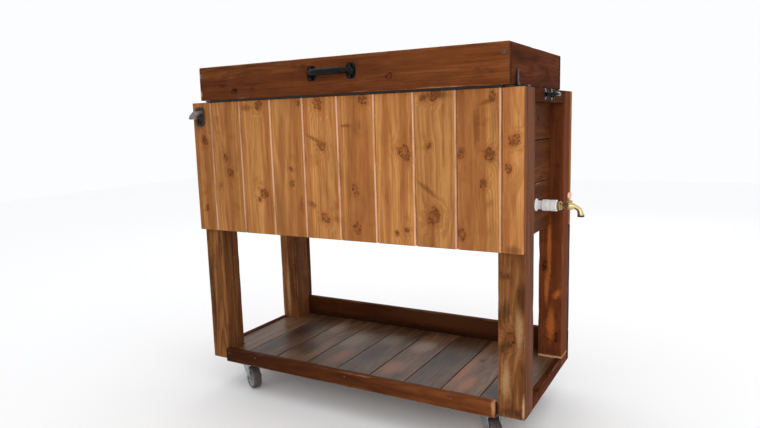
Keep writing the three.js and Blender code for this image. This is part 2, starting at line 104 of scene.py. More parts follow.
# ---- node graphs ------------------------------------------------------------------------------
class Graph:
    """A material's node graph, written as calls that return sockets."""

    def __init__(self, name):
        self.material = bpy.data.materials.new(name)
        self.material.use_nodes = True
        self.tree = self.material.node_tree
        self.tree.nodes.clear()
        out = self.tree.nodes.new("ShaderNodeOutputMaterial")
        self.shader = self.tree.nodes.new("ShaderNodeBsdfPrincipled")
        self.tree.links.new(self.shader.outputs[0], out.inputs[0])
        self.coords = self.tree.nodes.new("ShaderNodeTexCoord")
        self.place = self.coords.outputs["Object"]

    def feed(self, value, socket):
        if isinstance(value, bpy.types.NodeSocket):
            self.tree.links.new(value, socket)
        else:
            socket.default_value = value

    def set(self, name, value):
        self.feed(value, self.shader.inputs[name])

    def math(self, operation, a, b=0.0, clamp=False):
        node = self.tree.nodes.new("ShaderNodeMath")
        node.operation = operation
        node.use_clamp = clamp
        for value, socket in zip((a, b), node.inputs):
            self.feed(value, socket)
        return node.outputs[0]

    def plus(self, a, b, clamp=False):
        return self.math("ADD", a, b, clamp)

    def minus(self, a, b):
        return self.math("SUBTRACT", a, b)

    def times(self, a, b):
        return self.math("MULTIPLY", a, b)

    def centred(self, field, gain):
        """A noise field about 0 instead of 0.5."""
        return self.times(self.minus(field, 0.5), gain)

    def smooth(self, value, start, end, low=0.0, high=1.0):
        node = self.tree.nodes.new("ShaderNodeMapRange")
        node.interpolation_type = "SMOOTHSTEP"
        for k, item in enumerate((value, start, end, low, high)):
            self.feed(item, node.inputs[k])
        return node.outputs[0]

    def mix(self, factor, a, b, blend="MIX"):
        node = self.tree.nodes.new("ShaderNodeMix")
        node.data_type = "RGBA"
        node.blend_type = blend
        self.feed(factor, node.inputs[0])
        self.feed(colour4(a), node.inputs[6])
        self.feed(colour4(b), node.inputs[7])
        return node.outputs[2]

    def split(self, vector):
        node = self.tree.nodes.new("ShaderNodeSeparateXYZ")
        self.feed(vector, node.inputs[0])
        return list(node.outputs)

    def join(self, x, y, z):
        node = self.tree.nodes.new("ShaderNodeCombineXYZ")
        for value, socket in zip((x, y, z), node.inputs):
            self.feed(value, socket)
        return node.outputs[0]

    def stretch(self, vector, scale, offset=(0, 0, 0)):
        node = self.tree.nodes.new("ShaderNodeMapping")
        self.feed(vector, node.inputs["Vector"])
        node.inputs["Location"].default_value = offset
        node.inputs["Scale"].default_value = scale
        return node.outputs[0]

    def noise(self, vector, scale=1.0, detail=3.0, roughness=0.55):
        node = self.tree.nodes.new("ShaderNodeTexNoise")
        self.feed(vector, node.inputs["Vector"])
        node.inputs["Scale"].default_value = scale
        node.inputs["Detail"].default_value = detail
        node.inputs["Roughness"].default_value = roughness
        return node.outputs["Fac"]

    def length(self, vector):
        node = self.tree.nodes.new("ShaderNodeVectorMath")
        node.operation = "LENGTH"
        self.feed(vector, node.inputs[0])
        return node.outputs["Value"]

    def bump(self, height, distance, strength=1.0):
        node = self.tree.nodes.new("ShaderNodeBump")
        node.inputs["Distance"].default_value = distance
        node.inputs["Strength"].default_value = strength
        self.feed(height, node.inputs["Height"])
        self.set("Normal", node.outputs[0])


def colour4(value):
    if isinstance(value, tuple) and len(value) == 3:
        return (*value, 1)
    return value


# ---- wood -------------------------------------------------------------------------------------
class Stain:
    """A stain's colours (linear) and finish."""

    def __init__(self, light, mid, dark, knot, bare, end, rough=0.55, coat=0.0, blotch=0.35, grain=0.5,
                 wear_and_glint=0.35, coat_rough=0.3, gloss=1.09):
        self.light, self.mid, self.dark, self.knot, self.bare, self.end = light, mid, dark, knot, bare, end
        self.rough, self.coat, self.blotch, self.grain, self.wear_and_glint = rough, coat, blotch, grain, wear_and_glint
        self.coat_rough, self.gloss = coat_rough, gloss


HONEY = Stain((0.50, 0.23, 0.071), (0.29, 0.098, 0.028), (0.11, 0.035, 0.01), (0.13, 0.042, 0.013),
              (0.72, 0.39, 0.23), (0.20, 0.09, 0.035), rough=0.55, blotch=0.5, grain=0.5, wear_and_glint=0.35)
BROWN = Stain((0.30, 0.125, 0.04), (0.15, 0.052, 0.016), (0.04, 0.012, 0.004), (0.16, 0.045, 0.012),
              (0.52, 0.28, 0.13), (0.08, 0.03, 0.012), rough=0.55, blotch=0.9, grain=0.8, wear_and_glint=0.95)
DARK = Stain((0.16, 0.05, 0.014), (0.09, 0.024, 0.007), (0.028, 0.007, 0.003), (0.015, 0.004, 0.002),
             (0.34, 0.16, 0.075), (0.045, 0.015, 0.007), rough=0.5, blotch=0.6, grain=0.6, wear_and_glint=0.9)
REDDISH = Stain((0.130, 0.037, 0.014), (0.082, 0.021, 0.007), (0.027, 0.007, 0.003), (0.012, 0.004, 0.002),
                (0.32, 0.15, 0.075), (0.05, 0.015, 0.006), rough=0.55, blotch=0.7, grain=0.6, wear_and_glint=0.6,
                gloss=1.035)
SHELF = Stain((0.17, 0.088, 0.043), (0.085, 0.041, 0.02), (0.018, 0.008, 0.004), (0.01, 0.004, 0.002),
              (0.26, 0.15, 0.08), (0.03, 0.014, 0.008), rough=0.38, coat=0.07, blotch=0.8, grain=0.7,
              wear_and_glint=0.3, coat_rough=0.24, gloss=1.22)
INNER = Stain((0.36, 0.2, 0.095), (0.27, 0.14, 0.062), (0.16, 0.075, 0.032), (0.07, 0.028, 0.012),
              (0.5, 0.32, 0.18), (0.22, 0.12, 0.06), rough=0.68, blotch=0.4, grain=0.5, wear_and_glint=0.2)


class Wood(Graph):
    """A board's graph: growth rings round a slightly tilted pith, so that each face is cut its own way.

    low and high are the board's corners, and along and across are axis numbers. u, w and t are the places
    across, through and along the board.
    """

    def __init__(self, name, stain, low, high, along, across, seed):
        super().__init__(name)
        if across is None:
            across = max((k for k in range(3) if k != along), key=lambda k: high[k] - low[k])
        self.stain, self.low, self.high = stain, low, high
        self.along, self.across, self.depth = along, across, 3 - along - across
        parts = self.split(self.place)
        self.u, self.w, self.t = parts[across], parts[self.depth], parts[along]
        self.chance = random.Random(seed)
        self.drift = [self.chance.uniform(0, 40) for _ in range(3)]
        self.fibres = self.stretched(0.035, self.drift)
        self.sways = self.stretched(0.16, self.drift[::-1])
        self.fibre = self.noise(self.fibres, 520, 3, 0.6)
        self.streak = self.noise(self.fibres, 120, 3, 0.55)
        self.ragged = self.centred(self.noise(self.place, 130, 3, 0.65), 1.5)
        self.normal = self.split(self.coords.outputs["Normal"])

    def stretched(self, slow, offset):
        """The place, with features drawn out along the board."""
        scale = [1.0, 1.0, 1.0]
        scale[self.along] = slow
        return self.stretch(self.place, scale, offset)

    def find_knots(self, knots):
        """The ragged distance to the nearest knot in knot radii, or nothing on a clear board."""
        self.nearest = None
        x, y, z = self.drift
        swirl = [self.centred(self.noise(self.stretch(self.place, (1, 1, 1), (x + k, y, z)), 70, 2), 1.7)
                 for k in range(2)]
        for across, along, radius in knots:
            lean, squash = self.chance.uniform(-0.35, 0.35), self.chance.uniform(0.62, 1.0)
            rise = self.times(self.minus(self.t, along), squash / radius)
            run = self.plus(self.times(self.minus(self.u, across), 1 / radius), self.times(rise, lean))
            reach = self.length(self.join(self.plus(run, swirl[0]), self.plus(rise, swirl[1]), 0.0))
            self.nearest = reach if self.nearest is None else self.math("MINIMUM", self.nearest, reach)
        if knots:
            self.nearest = self.plus(self.nearest, self.ragged)

    def find_rings(self, pith, spacing):
        """The late wood of each ring. The rings sway along the board and bend round its knots."""
        low, high, chance = self.low, self.high, self.chance
        size = [high[k] - low[k] for k in range(3)]
        middle = [(high[k] + low[k]) / 2 for k in range(3)]
        if pith is None:
            pith = (middle[self.across] + chance.uniform(-0.25, 0.25) * size[self.across],
                    low[self.depth] - chance.uniform(0.012, 0.045) if chance.random() < 0.5
                    else high[self.depth] + chance.uniform(0.02, 0.05))
        tilt_u, tilt_w = chance.uniform(-0.03, 0.03), chance.uniform(-0.05, 0.05)
        run = self.minus(self.t, middle[self.along] + chance.uniform(-0.4, 0.4) * size[self.along])
        from_u = self.plus(self.minus(self.u, pith[0]), self.times(run, tilt_u))
        from_w = self.plus(self.minus(self.w, pith[1]), self.times(run, tilt_w))
        radius = self.length(self.join(from_u, from_w, 0.0))
        radius = self.plus(radius, self.centred(self.noise(self.sways, 16, 2, 0.45), 0.022))
        if self.nearest is not None:
            radius = self.plus(radius, self.times(self.smooth(self.nearest, 0.4, 3.4, 1.0, 0.0), 0.013))
        rings = self.math("FRACT", self.math("DIVIDE", radius, spacing))
        self.late = self.times(self.smooth(rings, 0.15, 0.86), self.smooth(rings, 0.9, 1.0, 1.0, 0.0))

    def stained(self):
        """The stain's colour over rings, fibres, streaks and blotches."""
        stain = self.stain
        band = self.noise(self.stretch(self.fibres, (1, 1, 1), (7, 3, 5)), 27, 2, 0.5)
        mottle = self.noise(self.sways, 75, 4, 0.65)
        cloud = self.noise(self.sways, 22, 3, 0.6)
        smudge = self.noise(self.stretch(self.place, (1, 1, 1), self.drift), 17, 3, 0.5)
        colour = self.mix(self.times(self.late, stain.grain), stain.light, stain.mid)
        for field, start, end, amount, tint in (
                (band, 0.42, 0.62, 0.8, stain.mid),
                (mottle, 0.5, 0.7, 0.5 * stain.blotch, stain.dark),
                (mottle, 0.5, 0.32, 0.55 * stain.blotch, stain.light),
                (self.streak, 0.45, 0.75, 0.6, stain.mid),
                (self.fibre, 0.45, 0.8, 0.75 * stain.grain, stain.dark),
                (self.streak, 0.6, 0.8, 0.6 * stain.grain, stain.dark),
                (cloud, 0.5, 0.78, stain.blotch, stain.dark),
                (smudge, 0.55, 0.72, 0.8 * stain.blotch, stain.mid)):
            colour = self.mix(self.smooth(field, start, end, 0.0, amount), colour, tint)
        soot = self.times(self.smooth(smudge, 0.6, 0.74), self.smooth(self.streak, 0.4, 0.62))
        return self.mix(self.times(soot, stain.blotch), colour, stain.dark)

    def knotted(self, colour):
        """The colour with its knots, and the depth of their cracked rims."""
        if self.nearest is None:
            return colour, 0.0
        stain, nearest = self.stain, self.nearest
        colour = self.mix(self.smooth(nearest, 0.8, 2.6, 0.75, 0.0), colour, stain.mid)
        flecks = self.noise(self.stretch(self.place, (1, 1, 1), self.drift[::-1]), 150, 3, 0.65)
        heart = self.mix(self.smooth(flecks, 0.44, 0.6), stain.knot, stain.mid)
        colour = self.mix(self.smooth(nearest, 0.5, 1.2, 0.85, 0.0), colour, heart)
        rim = self.times(self.smooth(nearest, 0.6, 0.95), self.smooth(nearest, 1.0, 1.3, 1.0, 0.0))
        cracked = self.times(rim, self.smooth(self.noise(self.place, 160, 2), 0.35, 0.6))
        colour = self.mix(self.times(cracked, 0.8), colour, tuple(0.45 * c for c in stain.dark))
        return colour, self.times(cracked, -0.9)

    def scarred(self, colour, scars):
        """The colour with its soft smears; a dark one can also be painted shadow, the shade of a scar."""
        for across, along, width, height, slope, *own in scars:
            run = self.minus(self.u, across)
            rise = self.minus(self.minus(self.t, along), self.times(run, slope))
            run, rise = self.math("DIVIDE", run, width), self.math("DIVIDE", rise, height)
            reach = self.plus(self.length(self.join(run, rise, 0.0)), self.times(self.ragged, 0.6))
            broken = self.smooth(self.fibre, 0.25, 0.6, 0.5)
            smear = self.times(self.smooth(reach, 0.3, 1.25, 0.75, 0.0), broken)
            colour = self.mix(smear, colour, own[0] if own else tuple(1.3 * c for c in self.stain.dark))
        return colour

    def end_grain_and_pale_edges(self, colour):
        """End grain, which drinks more stain, and pale long edges: bare wood where they have rubbed, and
        painted highlight where they catch the light.
        """
        stain = self.stain
        self.end = self.smooth(self.math("ABSOLUTE", self.normal[self.along]), 0.6, 0.95)
        colour = self.mix(self.end, colour, self.mix(self.late, stain.end, stain.dark))
        gaps = [self.math("MINIMUM", self.minus(part, self.low[axis]), self.minus(self.high[axis], part))
                for axis, part in ((self.across, self.u), (self.depth, self.w))]
        edge = self.smooth(self.plus(*gaps), 0.0008, 0.0048, 1.0, 0.0)
        rubbed_and_lit = self.smooth(self.noise(self.sways, 60, 4, 0.65), 0.5, 0.68)
        return self.mix(self.times(self.times(edge, rubbed_and_lit), stain.wear_and_glint), colour, stain.bare)

    def planed_edge(self, colour):
        """A strip of bare wood down the edge that is high across."""
        strip = self.smooth(self.minus(self.high[self.across], self.u), 0.0032, 0.0052, 1.0, 0.0)
        patchy = self.smooth(self.noise(self.sways, 46, 4, 0.65), 0.34, 0.56, 0.3, 0.92)
        return self.mix(self.times(strip, patchy), colour, self.stain.bare)

    def shaded_side(self, colour, amount):
        """Painted shade: the face towards +X, turned from the light, is mixed towards a darker brown."""
        shade_mask = self.smooth(self.normal[0], 0.45, 0.8, 0.0, amount)
        shade_colour = self.mix(self.smooth(self.streak, 0.4, 0.7), (0.15, 0.048, 0.02), (0.085, 0.026, 0.012))
        return self.mix(shade_mask, colour, shade_colour)

    def surface(self, rims):
        """Gloss and relief of the sawn and stained face."""
        rough = self.plus(self.stain.rough, self.centred(self.fibre, 0.3))
        self.set("Roughness", self.plus(rough, self.times(self.end, 0.2), clamp=True))
        self.set("Coat Weight", self.stain.coat)
        self.set("Coat Roughness", self.stain.coat_rough)
        self.set("IOR", self.stain.gloss)
        height = self.plus(self.times(self.late, 0.35), self.times(self.fibre, 0.8))
        height = self.plus(self.plus(height, self.times(self.streak, 0.5)), rims)
        self.bump(height, 0.0007, 0.5)


def wood(name, stain, low, high, along, seed, knots=(), scars=(), across=None, tone=1.0, fade=None,
         bare_edge=False, dark_side=0.0, pith=None, spacing=0.0042):
    """A board's material.

    Knots are (across, along, radius), and scars, which are soft smears, some of them painted shadow, are
    (across, along, half width, half height, slope) and then a colour where it isn't the stain's dark one, all
    in metres in the object's frame.
    bare_edge is for a board whose edge was planed after staining. fade is the tone of a painted shade at the
    board's low end, which rises to full over the board's length. dark_side is how far painted shade darkens
    the face towards +X.
    """
    graph = Wood(name, stain, low, high, along, across, seed)
    graph.find_knots(knots)
    graph.find_rings(pith, spacing)
    colour, rims = graph.knotted(graph.stained())
    colour = graph.end_grain_and_pale_edges(graph.scarred(colour, scars))
    if bare_edge:
        colour = graph.planed_edge(colour)
    # Painted shade on the face towards +X.
    if dark_side:
        colour = graph.shaded_side(colour, dark_side)
    # Painted shade: darker towards the board's low end, as the light falls off along it.
    if fade is not None:
        lit = graph.smooth(graph.t, low[along], high[along], fade, 1.0)
        colour = graph.mix(1.0, colour, graph.join(lit, lit, lit), "MULTIPLY")
    if tone != 1.0:
        colour = graph.mix(1.0, colour, (tone, tone, tone), "MULTIPLY")
    graph.set("Base Color", colour)
    graph.surface(rims)
    return graph.material


# ---- meshes -----------------------------------------------------------------------------------
class Solid:
    """Collects closed shells, each with a material number, into one mesh."""

    def __init__(self):
        self.points, self.faces, self.marks = [], [], []

    def add(self, points, faces, mark=0):
        start = len(self.points)
        self.points.extend(points)
        for face in faces:
            self.faces.append([start + k for k in face])
            self.marks.append(mark)

    def make(self, name, materials, angle=35):
        mesh = bpy.data.meshes.new(name)
        mesh.from_pydata([tuple(p) for p in self.points], [], self.faces)
        mesh.update()
        for material in materials:
            mesh.materials.append(material)
        for polygon, mark in zip(mesh.polygons, self.marks):
            polygon.material_index = mark
            polygon.use_smooth = True
        mesh.set_sharp_from_angle(angle=math.radians(angle))
        piece = bpy.data.objects.new(name, mesh)
        bpy.context.scene.collection.objects.link(piece)
        return piece


def tube_faces(rings, sides, closed=False):
    """The skin between rings of points; closed joins the last ring to the first."""
    faces = []
    for k in range(rings if closed else rings - 1):
        a, b = k * sides, ((k + 1) % rings) * sides
        for j in range(sides):
            n = (j + 1) % sides
            faces.append((a + j, a + n, b + n, b + j))
    return faces


def capped_faces(rings, sides):
    """The skin between rings of points, with a face over each end."""
    last = (rings - 1) * sides
    return [*tube_faces(rings, sides), tuple(range(sides))[::-1], tuple(range(last, last + sides))]


def basis(direction):
    """Two unit vectors square to a direction, in a right-handed set with it."""
    forward = Vector(direction).normalized()
    hint = UP if abs(forward.z) < 0.9 else Vector((1, 0, 0))
    side = hint.cross(forward).normalized()
    return side, forward.cross(side), forward


def lathe(solid, profile, origin, direction, sides=40, mark=0):
    """A turned shape. The profile is (radius, distance) pairs.

    It closes on itself, or both of its ends are on the axis.
    """
    side, other, forward = basis(direction)
    origin = Vector(origin)
    closed = profile[0] == profile[-1]
    rings = profile[:-1] if closed else profile[1:-1]
    points = []
    for radius, distance in rings:
        for j in range(sides):
            angle = 2 * math.pi * j / sides
            reach = side * math.cos(angle) + other * math.sin(angle)
            points.append(origin + forward * distance + reach * radius)
    faces = tube_faces(len(rings), sides, closed)
    if not closed:
        last = (len(rings) - 1) * sides
        tip = len(points)
        points += [origin + forward * profile[0][1], origin + forward * profile[-1][1]]
        for j in range(sides):
            n = (j + 1) % sides
            faces += [(tip, n, j), (tip + 1, last + j, last + n)]
    solid.add(points, faces, mark)


def mirrored(half):
    """A profile that comes back as its own mirror image about distance 0."""
    return half + [(radius, -distance) for radius, distance in half[::-1]]


def between(a, b, c, d, f):
    """The Catmull-Rom point at the fraction f from b to c."""
    return 0.5 * (2 * b + (c - a) * f + (2 * a - 5 * b + 4 * c - d) * f * f
                  + (3 * b - a - 3 * c + d) * f ** 3)


def curve_points(control, count):
    """Points along a Catmull-Rom curve through the control points."""
    control = [Vector(p) for p in control]
    padded = [2 * control[0] - control[1], *control, 2 * control[-1] - control[-2]]
    spans = len(control) - 1
    result = []
    for k in range(count + 1):
        position = min(k / count * spans, spans - 1e-9)
        i = int(position)
        result.append(between(*padded[i:i + 4], position - i))
    return result


def sweep(solid, path, size, sides=16, flat=1.0, hint=UP):
    """A bar along a path. size(f) is its radius at the fraction f; flat squeezes it along the hint."""
    hint = Vector(hint)
    points = []
    count = len(path)
    for k, place in enumerate(path):
        ahead = (path[min(k + 1, count - 1)] - path[max(k - 1, 0)]).normalized()
        side = ahead.cross(hint).normalized()
        lift = side.cross(ahead)
        radius = size(k / (count - 1))
        for j in range(sides):
            angle = 2 * math.pi * j / sides
            points.append(place + (side * math.cos(angle) + lift * math.sin(angle) * flat) * radius)
    solid.add(points, capped_faces(count, sides))


def slab(solid, outline, origin, across, upward, thick, ease=0.0, mark=0):
    """A plate with eased edges: an outline of (u, v) points, counter-clockwise seen from the front.

    across and upward span the outline, and the plate grows along their cross product.
    """
    origin, across, upward = Vector(origin), Vector(across).normalized(), Vector(upward).normalized()
    out = across.cross(upward)
    count = len(outline)
    inset = []
    for k in range(count):
        before, here, after = (Vector((*outline[(k + s) % count], 0)) for s in (-1, 0, 1))
        a, b = (here - before).normalized(), (after - here).normalized()
        normal = Vector((-(a.y + b.y), a.x + b.x, 0))
        normal = normal.normalized() / max(0.35, math.sqrt(max(0.0, (1 + a.dot(b)) / 2)))
        inset.append(here + normal * ease)
    points = []
    for ring, depth in ((inset, 0), (outline, ease), (outline, thick - ease), (inset, thick)):
        for point in ring:
            points.append(origin + across * point[0] + upward * point[1] + out * depth)
    solid.add(points, capped_faces(4, count), mark)


def rounded_outline(width, height, radius, steps=5):
    """A rectangle about 0 with round corners, counter-clockwise."""
    points = []
    for quarter, (sx, sy) in enumerate(((1, 1), (-1, 1), (-1, -1), (1, -1))):
        for k in range(steps + 1):
            angle = math.pi / 2 * (quarter + k / steps)
            points.append((sx * (width / 2 - radius) + radius * math.cos(angle),
                           sy * (height / 2 - radius) + radius * math.sin(angle)))
    return points


def hexagon(radius):
    return [(radius * math.cos(math.pi / 3 * k), radius * math.sin(math.pi / 3 * k)) for k in range(6)]


def board(name, low, high, along, seed, ease, wobble, cuts, nick):
    """A sawn board: a rounded section run along one axis, a little uneven, with knocks on its edges.

    ease is how far its edges are rounded, wobble how uneven its faces are, and nick how deep the knocks go.
    cuts gives a corner its own size instead of ease, by its signs along the two axes across the board.
    """
    low, high = Vector(low), Vector(high)
    i, j = (along + 1) % 3, (along + 2) % 3
    half = ((high[i] - low[i]) / 2, (high[j] - low[j]) / 2)
    centre = ((high[i] + low[i]) / 2, (high[j] + low[j]) / 2)
    ring = []
    corners = ((1, 1), (-1, 1), (-1, -1), (1, -1))
    for quarter, signs in enumerate(corners):
        cut = (cuts or {}).get(signs, ease)
        arc = 3
        for k in range(arc + 1):
            angle = math.pi / 2 * (quarter + k / arc)
            normal = (math.cos(angle), math.sin(angle))
            ring.append((signs[0] * (half[0] - cut) + cut * normal[0],
                         signs[1] * (half[1] - cut) + cut * normal[1], normal, 1.0))
        after = corners[(quarter + 1) % 4]
        next_cut = (cuts or {}).get(after, ease)
        start = ring[-1]
        turn = math.pi / 2 * (quarter + 1)
        normal = (math.cos(turn), math.sin(turn))
        end = (after[0] * (half[0] - next_cut) + next_cut * normal[0],
               after[1] * (half[1] - next_cut) + next_cut * normal[1])
        for f in (0.06, 0.35, 0.65, 0.94):
            ring.append((start[0] + (end[0] - start[0]) * f, start[1] + (end[1] - start[1]) * f,
                         normal, 0.35))
    length = high[along] - low[along]
    stations = max(8, int(length / 0.03))
    end_ease = min(ease, 0.0015)
    places = [0, end_ease] + [length * k / stations for k in range(1, stations)] + [length - end_ease, length]
    drift = Vector((seed * 3.17, seed * 1.31, seed * 0.77))
    points = []
    for order, place in enumerate(places):
        ends = order in (0, len(places) - 1)
        for a, b, normal, cornerness in ring:
            spot = Vector((a * 4, b * 4, place)) * 9 + drift
            inward = wobble * (0.5 + 0.5 * noise.noise(spot))
            knock = noise.noise(Vector((a * 30, b * 30, place * 34)) + drift)
            inward += cornerness * nick * max(0.0, knock - 0.25)
            if ends:
                inward += end_ease
            point = Vector((0, 0, 0))
            point[i] = centre[0] + a - normal[0] * inward
            point[j] = centre[1] + b - normal[1] * inward
            point[along] = low[along] + place
            points.append(point)
    solid = Solid()
    solid.add(points, capped_faces(len(places), len(ring)))
    return solid.make(name, [], angle=28)


def settle(piece, body, slot, *nodes):
    """Every piece: the body that it rides on, its finish (slot, which is not used), and the CAD nodes that it
    stands for.
    """
    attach(piece, body)
    if nodes:
        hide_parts(*nodes)
    return piece


def wooden(name, node, along, stain, slot, seed, body="root", low=None, high=None, ease=0.002, wobble=0.0005,
           cuts=None, nick=0.0012, **grain):
    """A board in place of a CAD node, or of a part of it between low and high."""
    box_low, box_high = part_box(node)
    low, high = Vector(low or box_low), Vector(high or box_high)
    piece = board(name, low, high, along, seed, ease, wobble, cuts, nick)
    piece.data.materials.append(wood(name, stain, low, high, along, seed, **grain))
    return settle(piece, body, slot, node)


# ---- the cart's boards ------------------------------------------------------------------------
def split_deep(node):
    """The corners of four equal boards, from front to back, in a node's box."""
    low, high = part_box(node)
    depth = (high.y - low.y) / 4
    return [(Vector((low.x, low.y + k * depth + 0.0005, low.z)),
             Vector((high.x, low.y + (k + 1) * depth - 0.0005, high.z))) for k in range(4)]


def make_legs():
    """Four legs. Knots and scars are at their places in the object."""
    orange, pale, deep = (0.36, 0.1, 0.022), (0.40, 0.23, 0.11), (0.045, 0.018, 0.008)
    knots = {
        "leg_front_right": [(0.385, 0.269, 0.011)],
        "leg_front_left": [(-0.47, 0.52, 0.007)],
        "leg_back_left": [(-0.447, 0.28, 0.006), (-0.462, 0.62, 0.006)],
        "leg_back_right": [(0.389, 0.225, 0.012), (0.394, 0.17, 0.012), (0.375, 0.36, 0.009)],
    }
    scars = {
        "leg_front_right": [(0.372, 0.325, 0.02, 0.03, 0.9, deep), (0.405, 0.29, 0.009, 0.06, 0.0, pale),
                            (0.37, 0.245, 0.016, 0.018, 0.5, deep), (0.39, 0.098, 0.035, 0.012, 0.0, deep),
                            (0.41, 0.36, 0.012, 0.05, 0.0, deep), (0.375, 0.17, 0.012, 0.05, 0.0, pale),
                            (0.415, 0.11, 0.004, 0.035, 0.0, (0.6, 0.36, 0.18))],
        "leg_front_left": [(-0.482, 0.25, 0.009, 0.16, 0.0, deep), (-0.445, 0.42, 0.008, 0.06, 0.0, deep)],
        "leg_back_left": [(-0.437, 0.3, 0.006, 0.16, 0.0, deep), (-0.47, 0.2, 0.008, 0.1, 0.0, pale)],
        "leg_back_right": [(0.384, 0.40, 0.006, 0.1, 0.0, orange), (0.39, 0.2, 0.013, 0.055, 0.0, orange),
                           (0.405, 0.285, 0.012, 0.012, 0.6, orange), (0.378, 0.3, 0.006, 0.05, 0.0, orange),
                           (0.388, 0.114, 0.06, 0.004, 0.0, (0.62, 0.36, 0.22))],
    }
    tones = {"leg_front_left": 0.85, "leg_back_left": 0.95, "leg_front_right": 1.0, "leg_back_right": 1.35}
    for order, (name, places) in enumerate(knots.items()):
        low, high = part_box(name)
        heart = ((low.x + high.x) / 2 + 0.012, (low.y + high.y) / 2 + 0.02)
        stain = REDDISH if name == "leg_back_right" else BROWN
        # Each leg's face towards +X gets painted shade, the front right one most.
        wooden(name, name, 2, stain, "brown_wood", 11 + order, ease=0.004, wobble=0.0007, knots=places,
               scars=scars[name], across=0, pith=heart, spacing=0.0052, nick=0.003,
               tone=tones[name], dark_side=0.85 if name == "leg_front_right" else 0.3)


def make_front_planks():
    """Ten V-jointed planks. Knots are (across, up) from each plank's own left foot, then the radius."""
    knots = {
        1: [(0.038, 0.244, 0.008), (0.03, 0.06, 0.005)],
        2: [(0.055, 0.16, 0.008), (0.04, 0.2, 0.006)],
        3: [(0.063, 0.331, 0.009), (0.066, 0.107, 0.010), (0.05, 0.092, 0.005)],
        4: [(0.056, 0.171, 0.0045), (0.057, 0.135, 0.0065), (0.0865, 0.332, 0.004)],
        5: [(0.042, 0.332, 0.012), (0.052, 0.228, 0.009), (0.054, 0.053, 0.010)],
        6: [(0.068, 0.335, 0.010), (0.042, 0.124, 0.0075), (0.045, 0.033, 0.009)],
        7: [(0.074, 0.214, 0.014), (0.051, 0.027, 0.0045), (0.076, 0.036, 0.005)],
        8: [(0.05, 0.337, 0.010), (0.021, 0.33, 0.006), (0.043, 0.07, 0.012), (0.034, 0.226, 0.005)],
        9: [(0.009, 0.208, 0.007), (0.073, 0.208, 0.009), (0.06, 0.146, 0.007), (0.008, 0.038, 0.009),
            (0.08, 0.328, 0.006)],
        10: [(0.0265, 0.237, 0.010), (0.014, 0.18, 0.006)],
    }
    scars = {
        1: [(0.02, 0.3, 0.02, 0.03, 0.0)],
        3: [(0.02, 0.327, 0.022, 0.011, 0.0)],
        5: [(0.03, 0.245, 0.03, 0.006, -0.43), (0.016, 0.085, 0.016, 0.009, -0.3)],
        6: [(0.022, 0.275, 0.018, 0.005, 0.0)],
        # Plank 8's first smear, the long slanting one, is painted shadow: the shade of a scar.
        8: [(0.03, 0.13, 0.032, 0.008, -0.75), (0.05, 0.335, 0.04, 0.008, 0.0)],
        9: [(0.07, 0.212, 0.02, 0.005, -0.3), (0.01, 0.216, 0.012, 0.01, 0.0),
            (0.045, 0.27, 0.008, 0.05, 0.0), (0.07, 0.318, 0.022, 0.006, 0.3)],
        10: [(0.024, 0.008, 0.02, 0.012, 0.0)],
    }
    tones = (0.84, 0.86, 0.99, 0.98, 1.1, 1.04, 1.08, 0.93, 1.0, 1.12)
    for k in range(1, 11):
        name = f"front_plank_{k}"
        low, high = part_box(name)
        places = [(low.x + across, low.z + up, radius) for across, up, radius in knots[k]]
        smears_and_shadow = [(low.x + across, low.z + up, *shape) for across, up, *shape in scars.get(k, [])]
        # Corners by sign of (X, Y): the front is -Y, and the right front edge has the wide chamfer.
        last = k == 10
        cuts = {(1, -1): 0.002 if last else 0.0044, (-1, -1): 0.0014, (1, 1): 0.0006, (-1, 1): 0.0006}
        if k > 1:
            low.x += 0.0008
        # The last plank's face towards +X gets painted shade.
        wooden(name, name, 2, HONEY, "honey_wood", 30 + k, low=low, high=high, cuts=cuts, wobble=0.0006,
               knots=places, scars=smears_and_shadow, across=0, tone=tones[k - 1], spacing=0.0055,
               bare_edge=not last, dark_side=0.9 if last else 0.0, nick=0.002)


def make_box_walls():
    """Back planks, side boards and the rails round the top."""
    low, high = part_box("back_panel")
    joints = [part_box(f"front_plank_{k}")[0].x for k in range(1, 11)] + [high.x]
    for k in range(10):
        a = Vector((joints[k] + (0.0005 if k else 0), low.y, low.z))
        b = Vector((joints[k + 1] - (0.0005 if k < 9 else 0), high.y, high.z))
        knots = [(a.x + 0.03 + 0.004 * k, a.z + 0.05 + 0.027 * k, 0.005 + 0.0004 * k)]
        wooden(f"back_plank_{k + 1}", "back_panel", 2, HONEY, "hidden_wood", 60 + k, low=a, high=b,
               cuts={(1, 1): 0.003, (-1, 1): 0.003}, across=0, tone=0.8, knots=knots, spacing=0.0055)
    board_height = 0.101
    for order, side in enumerate(("left", "right")):
        name = f"side_panel_{side}"
        low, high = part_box(name)
        top_joint = high.z - 0.015
        levels = [low.z, top_joint - 2 * board_height, top_joint - board_height, top_joint, high.z]
        for k in range(4):
            a = Vector((low.x, low.y, levels[k] + 0.0006))
            b = Vector((high.x, high.y, levels[k + 1] - 0.0006))
            knots = [(a.z + 0.05, a.y + 0.05 + 0.05 * k, 0.006)] if k < 3 else []
            wooden(f"side_board_{side}_{k + 1}", name, 1, DARK, "dark_wood", 80 + 5 * order + k,
                   low=a, high=b, ease=0.0016, across=2, tone=0.85, knots=knots)
        wooden(f"top_rail_{side}", f"top_rail_{side}", 1, REDDISH, "dark_wood", 95 + order, tone=0.55)
    for order, name in enumerate(("top_rail_front", "top_rail_back")):
        wooden(name, name, 0, INNER, "hidden_wood", 98 + order)
    for order, side in enumerate(("left", "right")):
        name = f"back_batten_{side}"
        if name in frame["nodes"]:
            # Their low tone is painted shade: the battens stand behind the back legs, turned from the light.
            wooden(name, name, 2, DARK, "dark_wood", 101 + order, across=0, tone=0.6)


